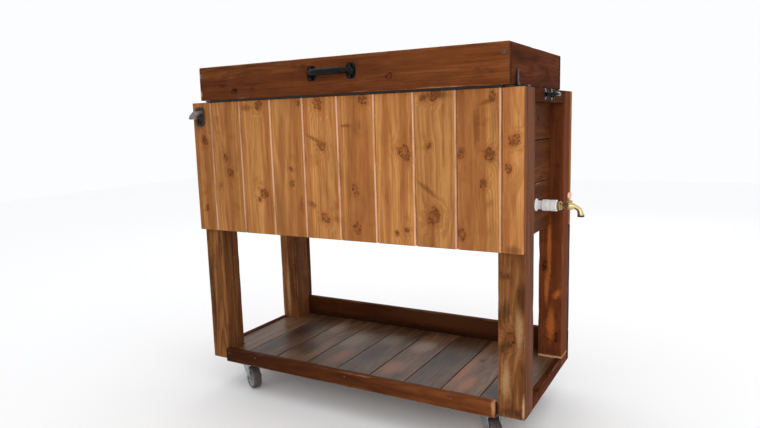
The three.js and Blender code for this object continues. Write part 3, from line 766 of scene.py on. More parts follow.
def make_shelf():
    """The shelf's boards with its edges, lip and back rail. Scars are at their places in the object."""
    low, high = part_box("shelf_deck")
    count = 9
    pitch = (high.x - low.x) / count
    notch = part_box("shelf_edge_left")
    inner = (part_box("leg_front_left")[1].x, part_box("leg_front_right")[0].x)
    tones = (1.15, 0.7, 1.0, 0.85, 0.75, 1.1, 0.8, 1.35, 0.95)
    umber, rust, ashen = (0.03, 0.014, 0.008), (0.26, 0.09, 0.04), (0.25, 0.19, 0.14)
    scars = {
        1: [(-0.35, 0.08, 0.04, 0.07, 0.0, umber)],
        2: [(-0.25, -0.05, 0.05, 0.06, 0.3, umber), (-0.26, 0.12, 0.03, 0.06, 0.0, ashen)],
        3: [(-0.16, 0.06, 0.05, 0.07, 0.0, ashen), (-0.12, -0.06, 0.02, 0.07, 0.0, rust)],
        4: [(-0.06, 0.1, 0.04, 0.05, 0.0, ashen), (-0.05, -0.02, 0.03, 0.07, 0.0, umber)],
        5: [(0.04, -0.08, 0.03, 0.05, 0.0, rust), (0.05, 0.09, 0.04, 0.05, 0.0, ashen)],
        6: [(0.14, 0.03, 0.05, 0.07, 0.2, umber)],
        7: [(0.215, -0.02, 0.018, 0.12, 0.0, rust), (0.255, -0.09, 0.02, 0.06, 0.0, rust)],
        8: [(0.33, -0.1, 0.05, 0.06, 0.0, umber), (0.31, 0.08, 0.03, 0.07, 0.0, ashen)],
    }
    for k in range(count):
        a = Vector((low.x + k * pitch + 0.0006, low.y, low.z))
        b = Vector((low.x + (k + 1) * pitch - 0.0006, high.y, high.z))
        knots = [(a.x + 0.03, a.y + 0.06 + 0.025 * k, 0.006)] if k % 3 == 1 else []
        name = f"shelf_board_{k + 1}"
        if 0 < k < count - 1:
            wooden(name, "shelf_deck", 1, SHELF, "shelf_wood", 120 + k, low=a, high=b, ease=0.0022, across=0,
                   tone=tones[k], knots=knots, scars=scars.get(k, []), wobble=0.0008)
            continue
        # The end boards are notched round the legs.
        outer, near, far = (a.x, inner[0], b.x) if k == 0 else (b.x, inner[1], a.x)
        near += 0.0004 if k == 0 else -0.0004
        outline = [(outer, notch[0].y), (near, notch[0].y), (near, a.y), (far, a.y), (far, b.y), (near, b.y),
                   (near, notch[1].y), (outer, notch[1].y)]
        solid = Solid()
        slab(solid, outline if k == 0 else outline[::-1], (0, 0, low.z), (1, 0, 0), (0, 1, 0),
             high.z - low.z, 0.0015)
        stain = wood(name, SHELF, a, b, 1, 120 + k, across=0, tone=tones[k], scars=scars.get(k, []))
        settle(solid.make(name, [stain]), "root", "shelf_wood", "shelf_deck")
    for order, name in enumerate(("shelf_edge_left", "shelf_edge_right")):
        wooden(name, name, 1, REDDISH, "brown_wood", 140 + order)
    low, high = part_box("shelf_front_board")
    # The fascia is darker towards its left end: painted shade.
    wooden("shelf_front_board", "shelf_front_board", 0, DARK, "brown_wood", 142, ease=0.0018, across=2,
           tone=1.3, fade=0.3, scars=[(low.z + 0.03, high.x - 0.004, 0.03, 0.006, 0.0, (0.42, 0.2, 0.09))])
    wooden("shelf_back_rail", "shelf_back_rail", 0, DARK, "dark_wood", 143, ease=0.0025, across=2, tone=0.62,
           scars=[(0.15, 0.1, 0.03, 0.25, 0.0, (0.15, 0.055, 0.02)),
                  (0.11, -0.1, 0.02, 0.5, 0.0, (0.02, 0.008, 0.004))])


def make_floor():
    """The box's floor boards. The outer two are cut short between the legs."""
    for k, (a, b) in enumerate(split_deep("box_floor")):
        if k in (0, 3):
            a.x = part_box("leg_front_left")[1].x + 0.0005
            b.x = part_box("leg_front_right")[0].x - 0.0005
        wooden(f"floor_board_{k + 1}", "box_floor", 0, INNER, "hidden_wood", 150 + k, low=a, high=b, across=1)


def make_lid():
    """The lid's four boards and its top. Pale chips run down the front board's left end."""
    left_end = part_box("lid_front_board")[0].x
    chipped = (0.5, 0.33, 0.23)
    # The front board is darker towards its left end: painted shade.
    wooden("lid_front_board", "lid_front_board", 0, DARK, "dark_wood", 170, body="lid", ease=0.0026,
           across=2, tone=1.42, fade=0.66, knots=[(0.842, 0.12, 0.006), (0.83, -0.33, 0.006)], nick=0.0035,
           scars=[(0.826, left_end + 0.004, 0.010, 0.0035, 0.0, chipped),
                  (0.872, left_end + 0.003, 0.006, 0.003, 0.0, chipped)])
    wooden("lid_back_board", "lid_back_board", 0, DARK, "dark_wood", 171, body="lid", ease=0.0025, across=2)
    for order, side in enumerate(("left", "right")):
        name = f"lid_side_{side}"
        wooden(name, name, 1, REDDISH, "dark_wood", 172 + order, body="lid", across=2,
               knots=[(0.85, 0.09, 0.006)], nick=0.002)
    for k, (a, b) in enumerate(split_deep("lid_top_panel")):
        knots = [(a.y + 0.03 + 0.012 * k, a.x + 0.12 + 0.19 * k, 0.007),
                 (a.y + 0.06, a.x + 0.62 - 0.11 * k, 0.005)]
        wooden(f"lid_top_board_{k + 1}", "lid_top_panel", 0, DARK, "dark_wood", 180 + k, body="lid",
               low=a, high=b, ease=0.0022, across=1, knots=knots, tone=1.05)


# ---- finishes of the fittings -----------------------------------------------------------------
def finish(name, base, rough, metallic, stain, amount, scale, relief, speckle=0.0, ior=1.45):
    """Metal, plastic or rubber with mottled colour, uneven gloss and a fine relief."""
    graph = Graph(name)
    mottle = graph.noise(graph.place, scale, 4, 0.6)
    fine = graph.noise(graph.place, scale * 9, 2, 0.6)
    colour = graph.mix(graph.smooth(mottle, 0.45, 0.72, 0.0, amount), base, stain)
    if speckle:
        colour = graph.mix(graph.smooth(fine, 0.6, 0.75, 0.0, speckle), colour, tuple(0.4 * c for c in base))
    graph.set("Base Color", colour)
    graph.set("Metallic", metallic)
    graph.set("Roughness", graph.plus(graph.centred(mottle, 0.5), rough, clamp=True))
    graph.set("IOR", ior)
    graph.bump(graph.plus(mottle, graph.times(fine, 0.6)), relief, 0.6)
    return graph.material


def make_finishes():
    """Name, colour, roughness, metal, second colour and its share, noise scale and depth of relief."""
    return {
        "enamel": finish("black_enamel", (0.003, 0.003, 0.0035), 0.13, 0.0, (0.01, 0.009, 0.009), 0.3, 120,
                         0.00006, ior=1.22),
        "iron": finish("cast_iron", (0.022, 0.019, 0.018), 0.5, 0.1, (0.06, 0.048, 0.042), 0.7, 160, 0.0005,
                       speckle=0.5, ior=1.3),
        # A lighter copy of the cast iron: painted highlight for the light on the opener hood's top.
        "hood_highlight": finish("hood_highlight_iron", (0.2, 0.165, 0.145), 0.42, 0.35, (0.06, 0.048, 0.042), 0.8, 130, 0.0004,
                       speckle=0.3, ior=1.3),
        "zinc": finish("zinc_steel", (0.36, 0.37, 0.375), 0.34, 0.85, (0.17, 0.175, 0.18), 0.6, 90, 0.0001),
        "dull": finish("dull_steel", (0.035, 0.033, 0.03), 0.42, 0.4, (0.015, 0.014, 0.013), 0.7, 120, 0.0002,
                       ior=1.25),
        "core": finish("wheel_core", (0.24, 0.23, 0.225), 0.5, 0.0, (0.2, 0.19, 0.185), 0.6, 70, 0.0002),
        "tread": finish("wheel_tread", (0.08, 0.066, 0.064), 0.72, 0.0, (0.045, 0.038, 0.036), 0.7, 110,
                        0.0004, speckle=0.4),
        "brass": finish("tap_brass", (0.66, 0.5, 0.25), 0.3, 0.9, (0.33, 0.22, 0.1), 0.55, 140, 0.0002),
        "copper": finish("tap_copper", (0.86, 0.52, 0.4), 0.34, 0.75, (0.5, 0.27, 0.19), 0.4, 160, 0.0002),
        "pvc": finish("white_pvc", (0.88, 0.865, 0.87), 0.3, 0.0, (0.76, 0.74, 0.74), 0.4, 50, 0.00008),
        "tub": finish("tub_plastic", (0.82, 0.835, 0.83), 0.42, 0.0, (0.72, 0.735, 0.73), 0.5, 26, 0.00015),
        "rubber": finish("black_rubber", (0.02, 0.019, 0.019), 0.65, 0.0, (0.05, 0.048, 0.047), 0.5, 120,
                         0.0003),
        "screw": finish("screw_steel", (0.1, 0.08, 0.07), 0.45, 0.6, (0.05, 0.03, 0.022), 0.7, 240, 0.0002),
    }


# ---- small fittings ---------------------------------------------------------------------------
def fitting(solid, name, finishes, body, slot, *nodes):
    """Makes a piece of the collected shells, with its finishes in the order of their marks."""
    settle(solid.make(name, [FINISH[finish_name] for finish_name in finishes]), body, slot, *nodes)


def middle_of(node):
    """The centre of a node's box."""
    low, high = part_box(node)
    return (low + high) / 2


def add_screw(solid, place, normal, radius, domed=True):
    """A cross-head screw. Its head stands on the place and points along the normal; its slots are mark 1."""
    rise = 0.45 * radius if domed else 0.08 * radius
    side, other, out = basis(normal)
    place = Vector(place)
    lathe(solid, [(0, -0.3 * radius), (radius, -0.3 * radius), (radius, 0.1 * rise),
                  (0.82 * radius, 0.7 * rise), (0.45 * radius, rise), (0, rise)], place, normal, 20)
    for across, up in ((side, other), (other, -side)):
        arm = rounded_outline(1.15 * radius, 0.24 * radius, 0.1 * radius, 2)
        slab(solid, arm, place + out * (rise - 0.2 * radius), across, up, 0.22 * radius, 0.02 * radius, 1)


def add_bolt(solid, place, normal, radius):
    """A hexagon head on a washer."""
    side, other, out = basis(normal)
    lathe(solid, [(0, 0), (1.35 * radius, 0), (1.35 * radius, 0.18 * radius), (0, 0.18 * radius)], place,
          normal, 24)
    slab(solid, hexagon(radius), Vector(place) + out * 0.16 * radius, side, other, 0.75 * radius,
         0.1 * radius)


def make_pull(name, node, body, outward, width_axis, plate, bar_radius):
    """A cast pull: two screwed end plates, flared posts, collars and a swelling round grip."""
    low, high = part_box(node)
    outward, along = Vector(outward), Vector(width_axis)
    middle = (low + high) / 2
    reach = abs((high - low).dot(along)) / 2
    depth = abs((high - low).dot(outward))
    back = middle - outward * (depth / 2 - 0.0002)
    upward = outward.cross(along)
    solid = Solid()
    width, height = plate
    for side in (-1, 1):
        foot = back + along * side * (reach - width / 2)
        slab(solid, rounded_outline(width, height, width * 0.34), foot, along, upward * -1, 0.0032, 0.0012)
        slab(solid, rounded_outline(width * 0.7, height * 0.46, width * 0.22), foot + outward * 0.002,
             along, upward * -1, 0.0032, 0.0013)
        for end in (-1, 1):
            add_screw(solid, foot + upward * end * height * 0.345 + outward * 0.0036, outward, 0.0034)
    rise = depth - bar_radius * 1.25
    stand = reach - width * 0.55
    control = []
    for side in (-1, 1):
        leg = [(stand, 0.003), (stand - bar_radius * 0.5, rise * 0.5),
               (stand - bar_radius * 2.0, rise * 0.86), (stand - bar_radius * 4.2, rise)]
        leg = leg if side < 0 else leg[::-1]
        control += [back + along * side * a + outward * b for a, b in leg]
        if side < 0:
            control.append(back + outward * rise)
    path = curve_points(control, 72)

    def thickness(f):
        edge = min(f, 1 - f)
        if edge < 0.1:
            return bar_radius * (1.75 - 7.5 * edge)
        return bar_radius * (1.0 + 0.24 * math.sin(math.pi * (edge - 0.1) / 0.8))

    sweep(solid, path, thickness, 20, hint=upward)
    for f in (0.25, 0.75):
        k = int(f * 72)
        ahead = (path[k + 1] - path[k - 1]).normalized()
        collar = bar_radius * 1.34
        lathe(solid, mirrored([(0, -0.0022), (collar * 0.8, -0.0022), (collar, -0.0008)]), path[k], ahead, 24)
    fitting(solid, name, ("enamel", "rubber"), body, "black_metal", node)


def make_opener():
    """A cast opener: a screwed plate with a curved hood and a short tongue under it."""
    low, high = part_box("bottle_opener")
    solid = Solid()
    width = high.x - low.x
    face = Vector(((low.x + high.x) / 2, high.y, (low.z + high.z) / 2))
    shape = rounded_outline(width, high.z - low.z, width * 0.3)
    slab(solid, shape, face, (1, 0, 0), (0, 0, 1), 0.0045, 0.0015)
    hood = [(0.001, -0.0085), (-0.011, -0.0095), (-0.0165, -0.0125), (-0.027, -0.0215), (-0.0305, -0.029),
            (-0.0275, -0.0315), (-0.023, -0.0255), (-0.0115, -0.0175), (0.001, -0.0165)]
    slab(solid, hood, (face.x - width / 2 + 0.0015, face.y, high.z), (0, 1, 0), (0, 0, 1), width - 0.003,
         0.0013, 2)
    ridge = [(-0.003, -0.038), (-0.009, -0.041), (-0.0115, -0.0435)]
    tongue = curve_points([(face.x, face.y + y, high.z + z) for y, z in ridge], 12)
    sweep(solid, tongue, lambda f: 0.0085 * (1 - 0.35 * f), 20, flat=0.45, hint=(1, 0, 0.0001))
    for z in (high.z - 0.006, low.z + 0.006):
        add_screw(solid, (face.x, face.y - 0.0045, z), (0, -1, 0), 0.0036)
    # The hood, mark 2, takes the lighter iron: painted highlight.
    fitting(solid, "bottle_opener_cast", ("iron", "screw", "hood_highlight"), "root", "opener_iron", "bottle_opener")


def make_drain_pipe():
    """The white pipe and its coupling, with a collar where it leaves the side wall."""
    centre = middle_of("drain_pipe") * Vector((0, 1, 1))
    start, end = (corner.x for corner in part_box("drain_pipe"))
    coupling = end - 0.0345
    bore, pipe, sleeve = 0.0076, 0.0105, 0.0134
    solid = Solid()
    profile = [(bore, start), (pipe, start), (pipe, coupling), (sleeve - 0.0008, coupling),
               (sleeve, coupling + 0.001), (sleeve, coupling + 0.0145), (sleeve - 0.0006, coupling + 0.0152),
               (sleeve - 0.0006, coupling + 0.0188), (sleeve, coupling + 0.0195), (sleeve, end - 0.0014),
               (sleeve - 0.0012, end), (bore, end), (bore, start)]
    lathe(solid, profile, centre, (1, 0, 0), 56)
    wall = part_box("side_panel_right")[1].x
    lathe(solid, [(pipe + 0.0003, wall + 0.0001), (0.0152, wall + 0.0001), (0.0146, wall + 0.002),
                  (pipe + 0.0003, wall + 0.0026), (pipe + 0.0003, wall + 0.0001)], centre, (1, 0, 0), 40, 1)
    fitting(solid, "drain_pipe_white", ("pvc", "tub"), "root", "white_pvc", "drain_pipe")


def make_tap_body():
    """The brass bib tap: nut, barrel, bent spout with its black outlet ring, and the stem's bonnet."""
    centre = middle_of("drain_pipe") * Vector((0, 1, 1))
    low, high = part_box("tap_body")
    solid = Solid()
    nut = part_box("drain_pipe")[1].x + 0.0004
    slab(solid, hexagon(0.0118), centre + Vector((nut, 0, 0)), (0, 1, 0), (0, 0, 1), 0.0072, 0.0009)
    barrel = [(0, nut - 0.016), (0.0068, nut - 0.016), (0.0068, nut + 0.007), (0.0086, nut + 0.0078),
              (0.0086, nut + 0.0098), (0.0066, nut + 0.011), (0.0066, nut + 0.0175), (0.0083, nut + 0.02),
              (0.0098, nut + 0.0245), (0.0101, nut + 0.0285), (0.0092, nut + 0.0325), (0.0072, nut + 0.0365),
              (0.0062, nut + 0.04), (0, nut + 0.0405)]
    lathe(solid, barrel, centre, (1, 0, 0), 40)
    mouth_x = high.x - 0.008
    drop = [(nut + 0.031, 0), (nut + 0.0405, -0.0012), (mouth_x - 0.0035, -0.0085), (mouth_x, -0.0205)]
    path = curve_points([(x, centre.y, centre.z + z) for x, z in drop], 30)
    sweep(solid, path, lambda f: 0.0071 - 0.0017 * math.sin(math.pi * min(1, f * 1.1)), 28, hint=(0, 1, 0))
    foot = Vector((mouth_x, centre.y, low.z))
    lathe(solid, [(0, 0.0075), (0.0068, 0.0075), (0.0077, 0.006), (0.0077, 0.0042), (0, 0.0042)],
          foot, UP, 36)
    lathe(solid, [(0, 0.0043), (0.0079, 0.0043), (0.0079, 0.0006), (0.0072, 0), (0.0054, 0),
                  (0.0054, 0.0025), (0, 0.0025)], foot, UP, 36, 1)
    root = Vector((middle_of("tap_handle").x, centre.y, centre.z))
    lathe(solid, [(0, 0), (0.0078, 0), (0.0078, 0.0082), (0.0062, 0.0094), (0.0062, 0.0138), (0, 0.0138)],
          root, UP, 36)
    slab(solid, hexagon(0.0078), root + Vector((0, 0, 0.0095)), (1, 0, 0), (0, 1, 0), 0.0036, 0.0006)
    fitting(solid, "tap_body_brass", ("brass", "rubber"), "root", "tap_brass", "tap_body")


def make_tap_lever():
    """The copper-coloured butterfly lever: a hub, a neck and two open wings."""
    low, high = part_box("tap_handle")
    stem_x, middle_y, base = middle_of("tap_handle").x, middle_of("drain_pipe").y, low.z
    solid = Solid()
    lathe(solid, [(0, base + 0.0001), (0.0029, base + 0.0001), (0.0029, base + 0.0034),
                  (0.0042, base + 0.0042), (0.0042, base + 0.0062), (0, base + 0.0064)],
          (stem_x, middle_y, 0), UP, 28)
    heart = base + (high.z - base) * 0.58
    half_y, half_z = (high.y - low.y) / 2 - 0.0024, (high.z - heart) - 0.0022
    count, sides, thick = 40, 14, Vector((0.0024, 0, 0))
    for side in (-1, 1):
        ring = []
        for k in range(count):
            angle = 2 * math.pi * k / count
            y = side * (half_y * 0.5 + half_y * 0.5 * math.cos(angle))
            z = half_z * math.sin(angle) * (0.78 + 0.22 * math.cos(angle))
            ring.append(Vector((stem_x, middle_y + y, heart + z)))
        points = []
        for k, spot in enumerate(ring):
            ahead = (ring[(k + 1) % count] - ring[k - 1]).normalized()
            reach = ahead.cross(Vector((1, 0, 0))) * 0.0021
            for j in range(sides):
                turn = 2 * math.pi * j / sides
                points.append(spot + thick * math.cos(turn) + reach * math.sin(turn))
        solid.add(points, tube_faces(count, sides, closed=True))
    neck = curve_points([(stem_x, middle_y, z) for z in (base + 0.004, heart - 0.002, heart + 0.004)], 12)
    sweep(solid, neck, lambda f: 0.0034 - 0.0006 * f, 20, hint=(0, 1, 0))
    fitting(solid, "tap_handle_wings", ("copper",), "tap_lever", "tap_copper", "tap_handle")


def add_frames(solid, frames):
    """A moulded shell: rounded rectangles (centre x, centre y, width, depth, radius, z), skinned in order."""
    points, steps = [], 6
    for cx, cy, width, depth, radius, z in frames:
        points += [(cx + x, cy + y, z) for x, y in rounded_outline(width, depth, radius, steps)]
    solid.add(points, capped_faces(len(frames), 4 * (steps + 1)))


def rim(plan, shrink, radius, z):
    """A frame of the shell: a plan (centre x, centre y, width, depth) made smaller both ways by shrink."""
    cx, cy, width, depth = plan
    return cx, cy, width - shrink, depth - shrink, radius, z


def make_tub():
    """The moulded tub: up its outside, over its hanging rim, and down its inside."""
    low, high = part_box("cooler_tub")
    centre = middle_of("cooler_tub").xy
    outer = (*centre, high.x - low.x, high.y - low.y)
    inner = (*centre, 0.710, 0.310)
    wall, top, floor = 0.006, high.z, low.z
    bottom = floor + wall
    solid = Solid()
    add_frames(solid, [
        rim(inner, 0.05, 0.03, floor), rim(inner, 0.01, 0.045, floor + 0.012),
        rim(inner, -2 * wall, 0.045, floor + 0.045), rim(inner, -2 * wall, 0.04, top - 0.004),
        rim(outer, 0.002, 0.012, top - 0.003), rim(outer, 0, 0.012, top - 0.0018),
        rim(outer, 0.003, 0.011, top), rim(inner, -0.03, 0.045, top), rim(inner, -0.014, 0.042, top - 0.002),
        rim(inner, -0.004, 0.04, top - 0.01), rim(inner, 0, 0.038, top - 0.03),
        rim(inner, 0.004, 0.036, top - 0.1), rim(inner, 0.01, 0.036, bottom + 0.03),
        rim(inner, 0.022, 0.034, bottom + 0.009), rim(inner, 0.05, 0.026, bottom + 0.001),
        rim(inner, 0.12, 0.02, bottom),
    ])
    pipe = middle_of("drain_pipe")
    mouth = Vector((centre[0] + inner[2] / 2 - 0.005, pipe.y, pipe.z))
    lathe(solid, [(0.0078, -0.001), (0.0078, 0.003), (0.0125, 0.0042), (0.0165, 0.003), (0.0172, -0.001),
                  (0.0078, -0.001)], mouth, (-1, 0, 0), 40)
    lathe(solid, [(0, 0.0002), (0.0079, 0.0002), (0.0079, 0.0008), (0, 0.0008)], mouth, (-1, 0, 0), 32, 1)
    fitting(solid, "cooler_tub_moulding", ("tub", "rubber"), "root", "tub_plastic", "cooler_tub")


def make_liner():
    """The lid's liner: a tray with a raised pad over the tub and a shallow groove in the pad."""
    low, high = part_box("lid_liner")
    whole = (*middle_of("lid_liner").xy, high.x - low.x, high.y - low.y)
    front, back = low.y + 0.029, high.y - 0.004
    pad = (middle_of("cooler_tub").x, (front + back) / 2, 0.768, back - front)
    groove = (*pad[:3], pad[3] + 0.01)
    step, bottom = low.z + 0.0092, low.z
    solid = Solid()
    add_frames(solid, [
        rim(groove, 0.138, 0.03, bottom + 0.0012), rim(groove, 0.13, 0.03, bottom + 0.0035),
        rim(pad, 0.066, 0.03, bottom + 0.0035), rim(pad, 0.06, 0.03, bottom), rim(pad, 0.009, 0.03, bottom),
        rim(pad, 0.003, 0.03, bottom + 0.0015), rim(pad, 0, 0.03, step),
        rim(whole, 0.004, 0.01, step), rim(whole, 0, 0.008, step + 0.004), rim(whole, 0, 0.008, high.z),
    ])
    fitting(solid, "lid_liner_moulding", ("tub",), "lid", "tub_plastic", "lid_liner")


def make_hinge():
    """A long hinge: two screwed leaves, turned knuckles by turns, and the pin."""
    frame_low, frame_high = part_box("hinge_frame_leaf")
    lid_low, lid_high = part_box("hinge_lid_leaf")
    joint = next(j for j in frame["joints"] if j["name"] == "lid_hinge")
    axis_y, axis_z = joint["pos_m"][1:]
    count, radius, bore, leaf, ease = 9, 0.0035, 0.0016, 0.0015, 0.0004
    start, end = frame_low.x, frame_high.x
    pitch = (end - start) / count
    flat, upright = ((1, 0, 0), (0, 1, 0), leaf, ease), ((1, 0, 0), (0, 0, 1), leaf, ease)
    on_frame, on_lid = Solid(), Solid()
    knuckle = [(bore, 0), (radius, 0), (radius, pitch - 0.0011), (bore, pitch - 0.0011), (bore, 0)]
    for k in range(count):
        lathe((on_frame, on_lid)[k % 2], knuckle, (start + k * pitch + 0.0005, axis_y, axis_z), (1, 0, 0), 24)
        x0, x1 = start + k * pitch + 0.0006, start + (k + 1) * pitch - 0.0006
        middle = (x0 + x1) / 2
        if k % 2 == 0:
            depth = frame_high.y - axis_y - 0.001
            slab(on_frame, rounded_outline(x1 - x0, depth, 0.0015),
                 (middle, axis_y + 0.0015 + depth / 2, frame_low.z), *flat)
            add_screw(on_frame, (middle, axis_y + 0.0078, frame_low.z + leaf), UP, 0.0026, domed=False)
        else:
            height = lid_high.z - axis_z - 0.002
            slab(on_lid, rounded_outline(x1 - x0, height, 0.0015),
                 (middle, lid_low.y + leaf, axis_z + 0.001 + height / 2), *upright)
            add_screw(on_lid, (middle, lid_low.y + leaf, axis_z + 0.018), (0, 1, 0), 0.003, domed=False)
    middle = (start + end) / 2
    slab(on_lid, rounded_outline(end - start, 0.016, 0.001), (middle, lid_low.y + leaf, lid_high.z - 0.009),
         *upright)
    slab(on_frame, rounded_outline(end - start, 0.006, 0.001), (middle, frame_high.y - 0.0031, frame_low.z),
         *flat)
    lathe(on_lid, [(0, start), (0.0014, start), (0.0014, end), (0, end)], (0, axis_y, axis_z), (1, 0, 0), 14)
    fitting(on_frame, "hinge_frame_leaf_steel", ("zinc", "rubber"), "root", "zinc_steel", "hinge_frame_leaf")
    fitting(on_lid, "hinge_lid_leaf_steel", ("zinc", "rubber"), "lid", "zinc_steel", "hinge_lid_leaf")


# ---- casters ----------------------------------------------------------------------------------
def smooth_outline(points, count):
    """A closed smooth outline through a few (u, v) points."""
    total = len(points)
    result = []
    for k in range(count):
        position = k / count * total
        i = int(position)
        near = (Vector((*points[(i + s) % total], 0)) for s in (-1, 0, 1, 2))
        spot = between(*near, position - i)
        result.append((spot.x, spot.y))
    return result


def make_caster(corner):
    """A caster: bolted plate, ball race and swivelling fork, axle bolt and wheel."""
    swivel = next(j for j in frame["joints"] if j["name"] == f"swivel_{corner}")
    roll = next(j for j in frame["joints"] if j["name"] == f"roll_{corner}")
    centre = Vector((swivel["pos_m"][0], swivel["pos_m"][1], 0))
    axle = Vector(roll["pos_m"])
    side = Vector(roll["axis"]).normalized()
    ahead = Vector((axle.x - centre.x, axle.y - centre.y, 0))
    trail = ahead.length
    ahead.normalize()

    def spot(forward, across, height):
        return centre + ahead * forward + side * across + UP * height

    low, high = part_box(f"caster_plate_{corner}")
    bolt_reach = 0.0215
    solid = Solid()
    width = high.x - low.x
    middle = (low + high) / 2
    slab(solid, rounded_outline(width, width, 0.008), (middle.x, middle.y, low.z), (1, 0, 0), (0, 1, 0),
         high.z - low.z, 0.0007)
    for sx in (-1, 1):
        for sy in (-1, 1):
            hole = Vector((middle.x + sx * bolt_reach, middle.y + sy * bolt_reach, low.z + 0.0002))
            add_bolt(solid, hole, -UP, 0.0044)
    fitting(solid, f"caster_plate_{corner}_steel", ("zinc",), "root", "zinc_steel", f"caster_plate_{corner}")

    crown = 0.0745
    top = low.z - 0.0003
    solid = Solid()
    race = [(0, crown), (0.0165, crown), (0.019, crown + 0.0008), (0.0202, crown + 0.0022),
            (0.0202, crown + 0.0036), (0.0188, crown + 0.0042), (0.0188, crown + 0.0046),
            (0.0208, crown + 0.0052), (0.0208, top - 0.0008), (0.02, top), (0, top)]
    lathe(solid, race, centre, UP, 44)
    lathe(solid, [(0, crown - 0.0042), (0.004, crown - 0.0042), (0.0055, crown - 0.0026), (0.0055, crown),
                  (0, crown)], centre, UP, 24)
    cheek = smooth_outline([(-0.0165, crown), (-0.0168, crown - 0.009), (-0.006, crown - 0.024),
                            (trail - 0.0125, 0.036), (trail - 0.0088, 0.0262), (trail, 0.0228),
                            (trail + 0.0086, 0.0268), (trail + 0.0088, 0.037), (0.0255, 0.058),
                            (0.0225, crown - 0.004), (0.0195, crown)], 66)
    for sign in (-1, 1):
        across = 0.0140 if sign > 0 else -0.0165
        slab(solid, cheek[::-1], spot(0, across + 0.0025, 0), ahead, UP, 0.0025, 0.0006)
    slab(solid, rounded_outline(0.037, 0.033, 0.006), spot(0.0015, 0, crown - 0.0024), ahead, side, 0.0026,
         0.0007)
    for across in (-0.0155, 0.0155):
        rib = curve_points([spot(-0.0145, across, crown - 0.0035), spot(0.002, across, crown - 0.0016),
                            spot(0.0185, across, crown - 0.0035)], 12)
        sweep(solid, rib, lambda f: 0.0016, 10)
    fitting(solid, f"caster_fork_{corner}_steel", ("zinc",), f"caster_{corner}", "zinc_steel",
            f"caster_fork_{corner}")

    solid = Solid()
    lathe(solid, mirrored([(0, -0.0185), (0.0038, -0.0185)]), axle, side, 24)
    for outward in (side, -side):
        add_bolt(solid, axle + outward * 0.0167, outward, 0.0052)
    fitting(solid, f"caster_axle_{corner}_bolt", ("zinc",), f"caster_{corner}", "zinc_steel",
            f"caster_axle_{corner}")
    make_wheel(corner, axle, side, ahead)


def make_wheel(corner, axle, side, ahead):
    """A caster's wheel: a grooved tread on a core with five webs on each face."""
    radius = axle.z
    solid = Solid()
    tread = mirrored([(0.0262, -0.011), (0.0288, -0.0112), (0.0303, -0.0102), (radius - 0.0003, -0.0078),
                      (radius, -0.0052), (radius, -0.0034), (radius - 0.0008, -0.003),
                      (radius - 0.0008, -0.0024), (radius, -0.002)]) + [(0.0258, 0), (0.0262, -0.011)]
    lathe(solid, tread, axle, side, 72, 1)
    core = mirrored([(0.0042, -0.013), (0.0085, -0.013), (0.0093, -0.0122), (0.0098, -0.0085),
                     (0.0125, -0.0074), (0.0205, -0.0074), (0.0228, -0.009), (0.0262, -0.0098)])
    core.append(core[0])
    lathe(solid, core, axle, side, 64)
    for face in (-1, 1):
        for k in range(5):
            angle = 2 * math.pi * k / 5
            reach = ahead * math.cos(angle) + UP * math.sin(angle)
            web = axle + side * face * 0.0068 + reach * 0.0155
            tangent = side.cross(reach) * face
            slab(solid, rounded_outline(0.0105, 0.0028, 0.0012, 2), web, reach, tangent, 0.0022, 0.0006)
    fitting(solid, f"caster_wheel_{corner}_moulding", ("core", "tread"), f"wheel_{corner}", "wheel_tread",
            f"caster_wheel_{corner}")


# ---- screws, guide clip and the painted shade under the lid -----------------------------------
def make_lid_screws():
    solid = Solid()
    low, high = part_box("lid_front_board")
    for x in (low.x + 0.009, high.x - 0.012):
        add_screw(solid, (x, low.y + 0.0002, high.z - 0.021), (0, -1, 0), 0.0048, domed=False)
    for x in (low.x + 0.009, high.x - 0.009):
        for z in (high.z - 0.018, low.z + 0.02):
            add_screw(solid, (x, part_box("lid_back_board")[1].y - 0.0002, z), (0, 1, 0), 0.0042, domed=False)
    fitting(solid, "lid_screws", ("screw", "rubber"), "lid", "black_metal")


def make_frame_screws():
    """Nails in the shelf's lip, and screws in the back planks and the back rail."""
    solid = Solid()
    low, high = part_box("shelf_front_board")
    for x in (low.x + 0.012, low.x + 0.105, (low.x + high.x) / 2, high.x - 0.105, high.x - 0.012):
        lathe(solid, [(0, -0.001), (0.0021, -0.001), (0.0021, 0.0001), (0, 0.0002)],
              (x, low.y + 0.0001, high.z - 0.012), (0, -1, 0), 14)
    low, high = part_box("back_panel")
    for k in range(10):
        middle = middle_of(f"front_plank_{k + 1}").x
        for z in (low.z + 0.03, high.z - 0.015):
            add_screw(solid, (middle, high.y - 0.0003, z), (0, 1, 0), 0.0038, domed=False)
    low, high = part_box("shelf_back_rail")
    for x in (low.x + 0.03, high.x - 0.03):
        for z in (low.z + 0.022, high.z - 0.022):
            add_screw(solid, (x, high.y - 0.0002, z), (0, 1, 0), 0.0042, domed=False)
    fitting(solid, "frame_screws", ("screw", "rubber"), "root", "black_metal")


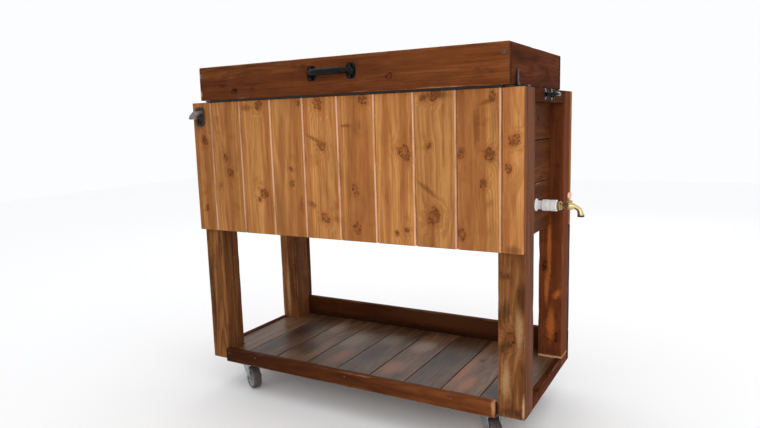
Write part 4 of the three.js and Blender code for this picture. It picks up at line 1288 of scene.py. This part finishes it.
def make_guide_clip():
    """The small steel guide for the lid on the front right leg's top."""
    lid_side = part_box("lid_side_right")[1].x
    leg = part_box("leg_front_right")
    x0, y0, z0 = lid_side + 0.0012, leg[0].y + 0.017, leg[1].z
    thick = 0.0034
    solid = Solid()
    slab(solid, rounded_outline(0.026, 0.02, 0.003), (x0 + 0.013, y0, z0), (1, 0, 0), (0, 1, 0), thick,
         0.0008)
    tongue = [(0.006, 0.002), (0.0022, 0.009), (0.002, 0.026), (0.0028, 0.037)]
    path = curve_points([(x0 + out, y0, z0 + up) for out, up in tongue], 20)
    sweep(solid, path, lambda f: 0.0075 - 0.003 * f, 20, flat=0.22, hint=(1, 0, 0.05))
    add_screw(solid, (x0 + 0.018, y0, z0 + thick), UP, 0.003)
    fitting(solid, "lid_guide_clip", ("dull", "rubber"), "root", "zinc_steel")


def make_gap_shade():
    """A dark strip in the gap under the lid's front and ends: painted shade, the black of the shadow gap made
    solid.
    """
    front, left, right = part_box("lid_front_board"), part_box("lid_side_left"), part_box("lid_side_right")
    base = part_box("leg_front_left")[1].z + 0.0006
    under = left[0].z - 0.0002
    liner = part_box("lid_liner")
    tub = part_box("cooler_tub")
    solid = Solid()
    runs = [((liner[0].x, front[1].y + 0.0006, base), (liner[1].x, tub[0].y - 0.0085, under + 0.0075)),
            ((left[0].x + 0.0006, front[1].y + 0.0006, base), (tub[0].x - 0.0008, left[1].y, under)),
            ((right[0].x + 0.0006, front[1].y + 0.0006, base), (right[1].x - 0.0006, right[1].y, under))]
    for low, high in runs:
        width, depth = high[0] - low[0], high[1] - low[1]
        middle = ((low[0] + high[0]) / 2, (low[1] + high[1]) / 2, low[2])
        slab(solid, rounded_outline(width, depth, 0.0015, 2), middle, (1, 0, 0), (0, 1, 0), high[2] - low[2],
             0.0006)
    fitting(solid, "lid_gap_shade_strip", ("rubber",), "lid", "black_metal")


FINISH = make_finishes()
make_camera()
make_studio()
make_legs()
make_front_planks()
make_box_walls()
make_shelf()
make_floor()
make_lid()
make_pull("lid_pull", "lid_handle", "lid", (0, -1, 0), (1, 0, 0), (0.027, 0.037), 0.0066)
make_pull("side_pull", "side_handle", "root", (1, 0, 0), (0, 1, 0), (0.017, 0.026), 0.004)
make_opener()
make_drain_pipe()
make_tap_body()
make_tap_lever()
make_tub()
make_liner()
make_hinge()
for corner in ("front_left", "front_right", "back_left", "back_right"):
    make_caster(corner)
make_lid_screws()
make_frame_screws()
make_guide_clip()
make_gap_shade()
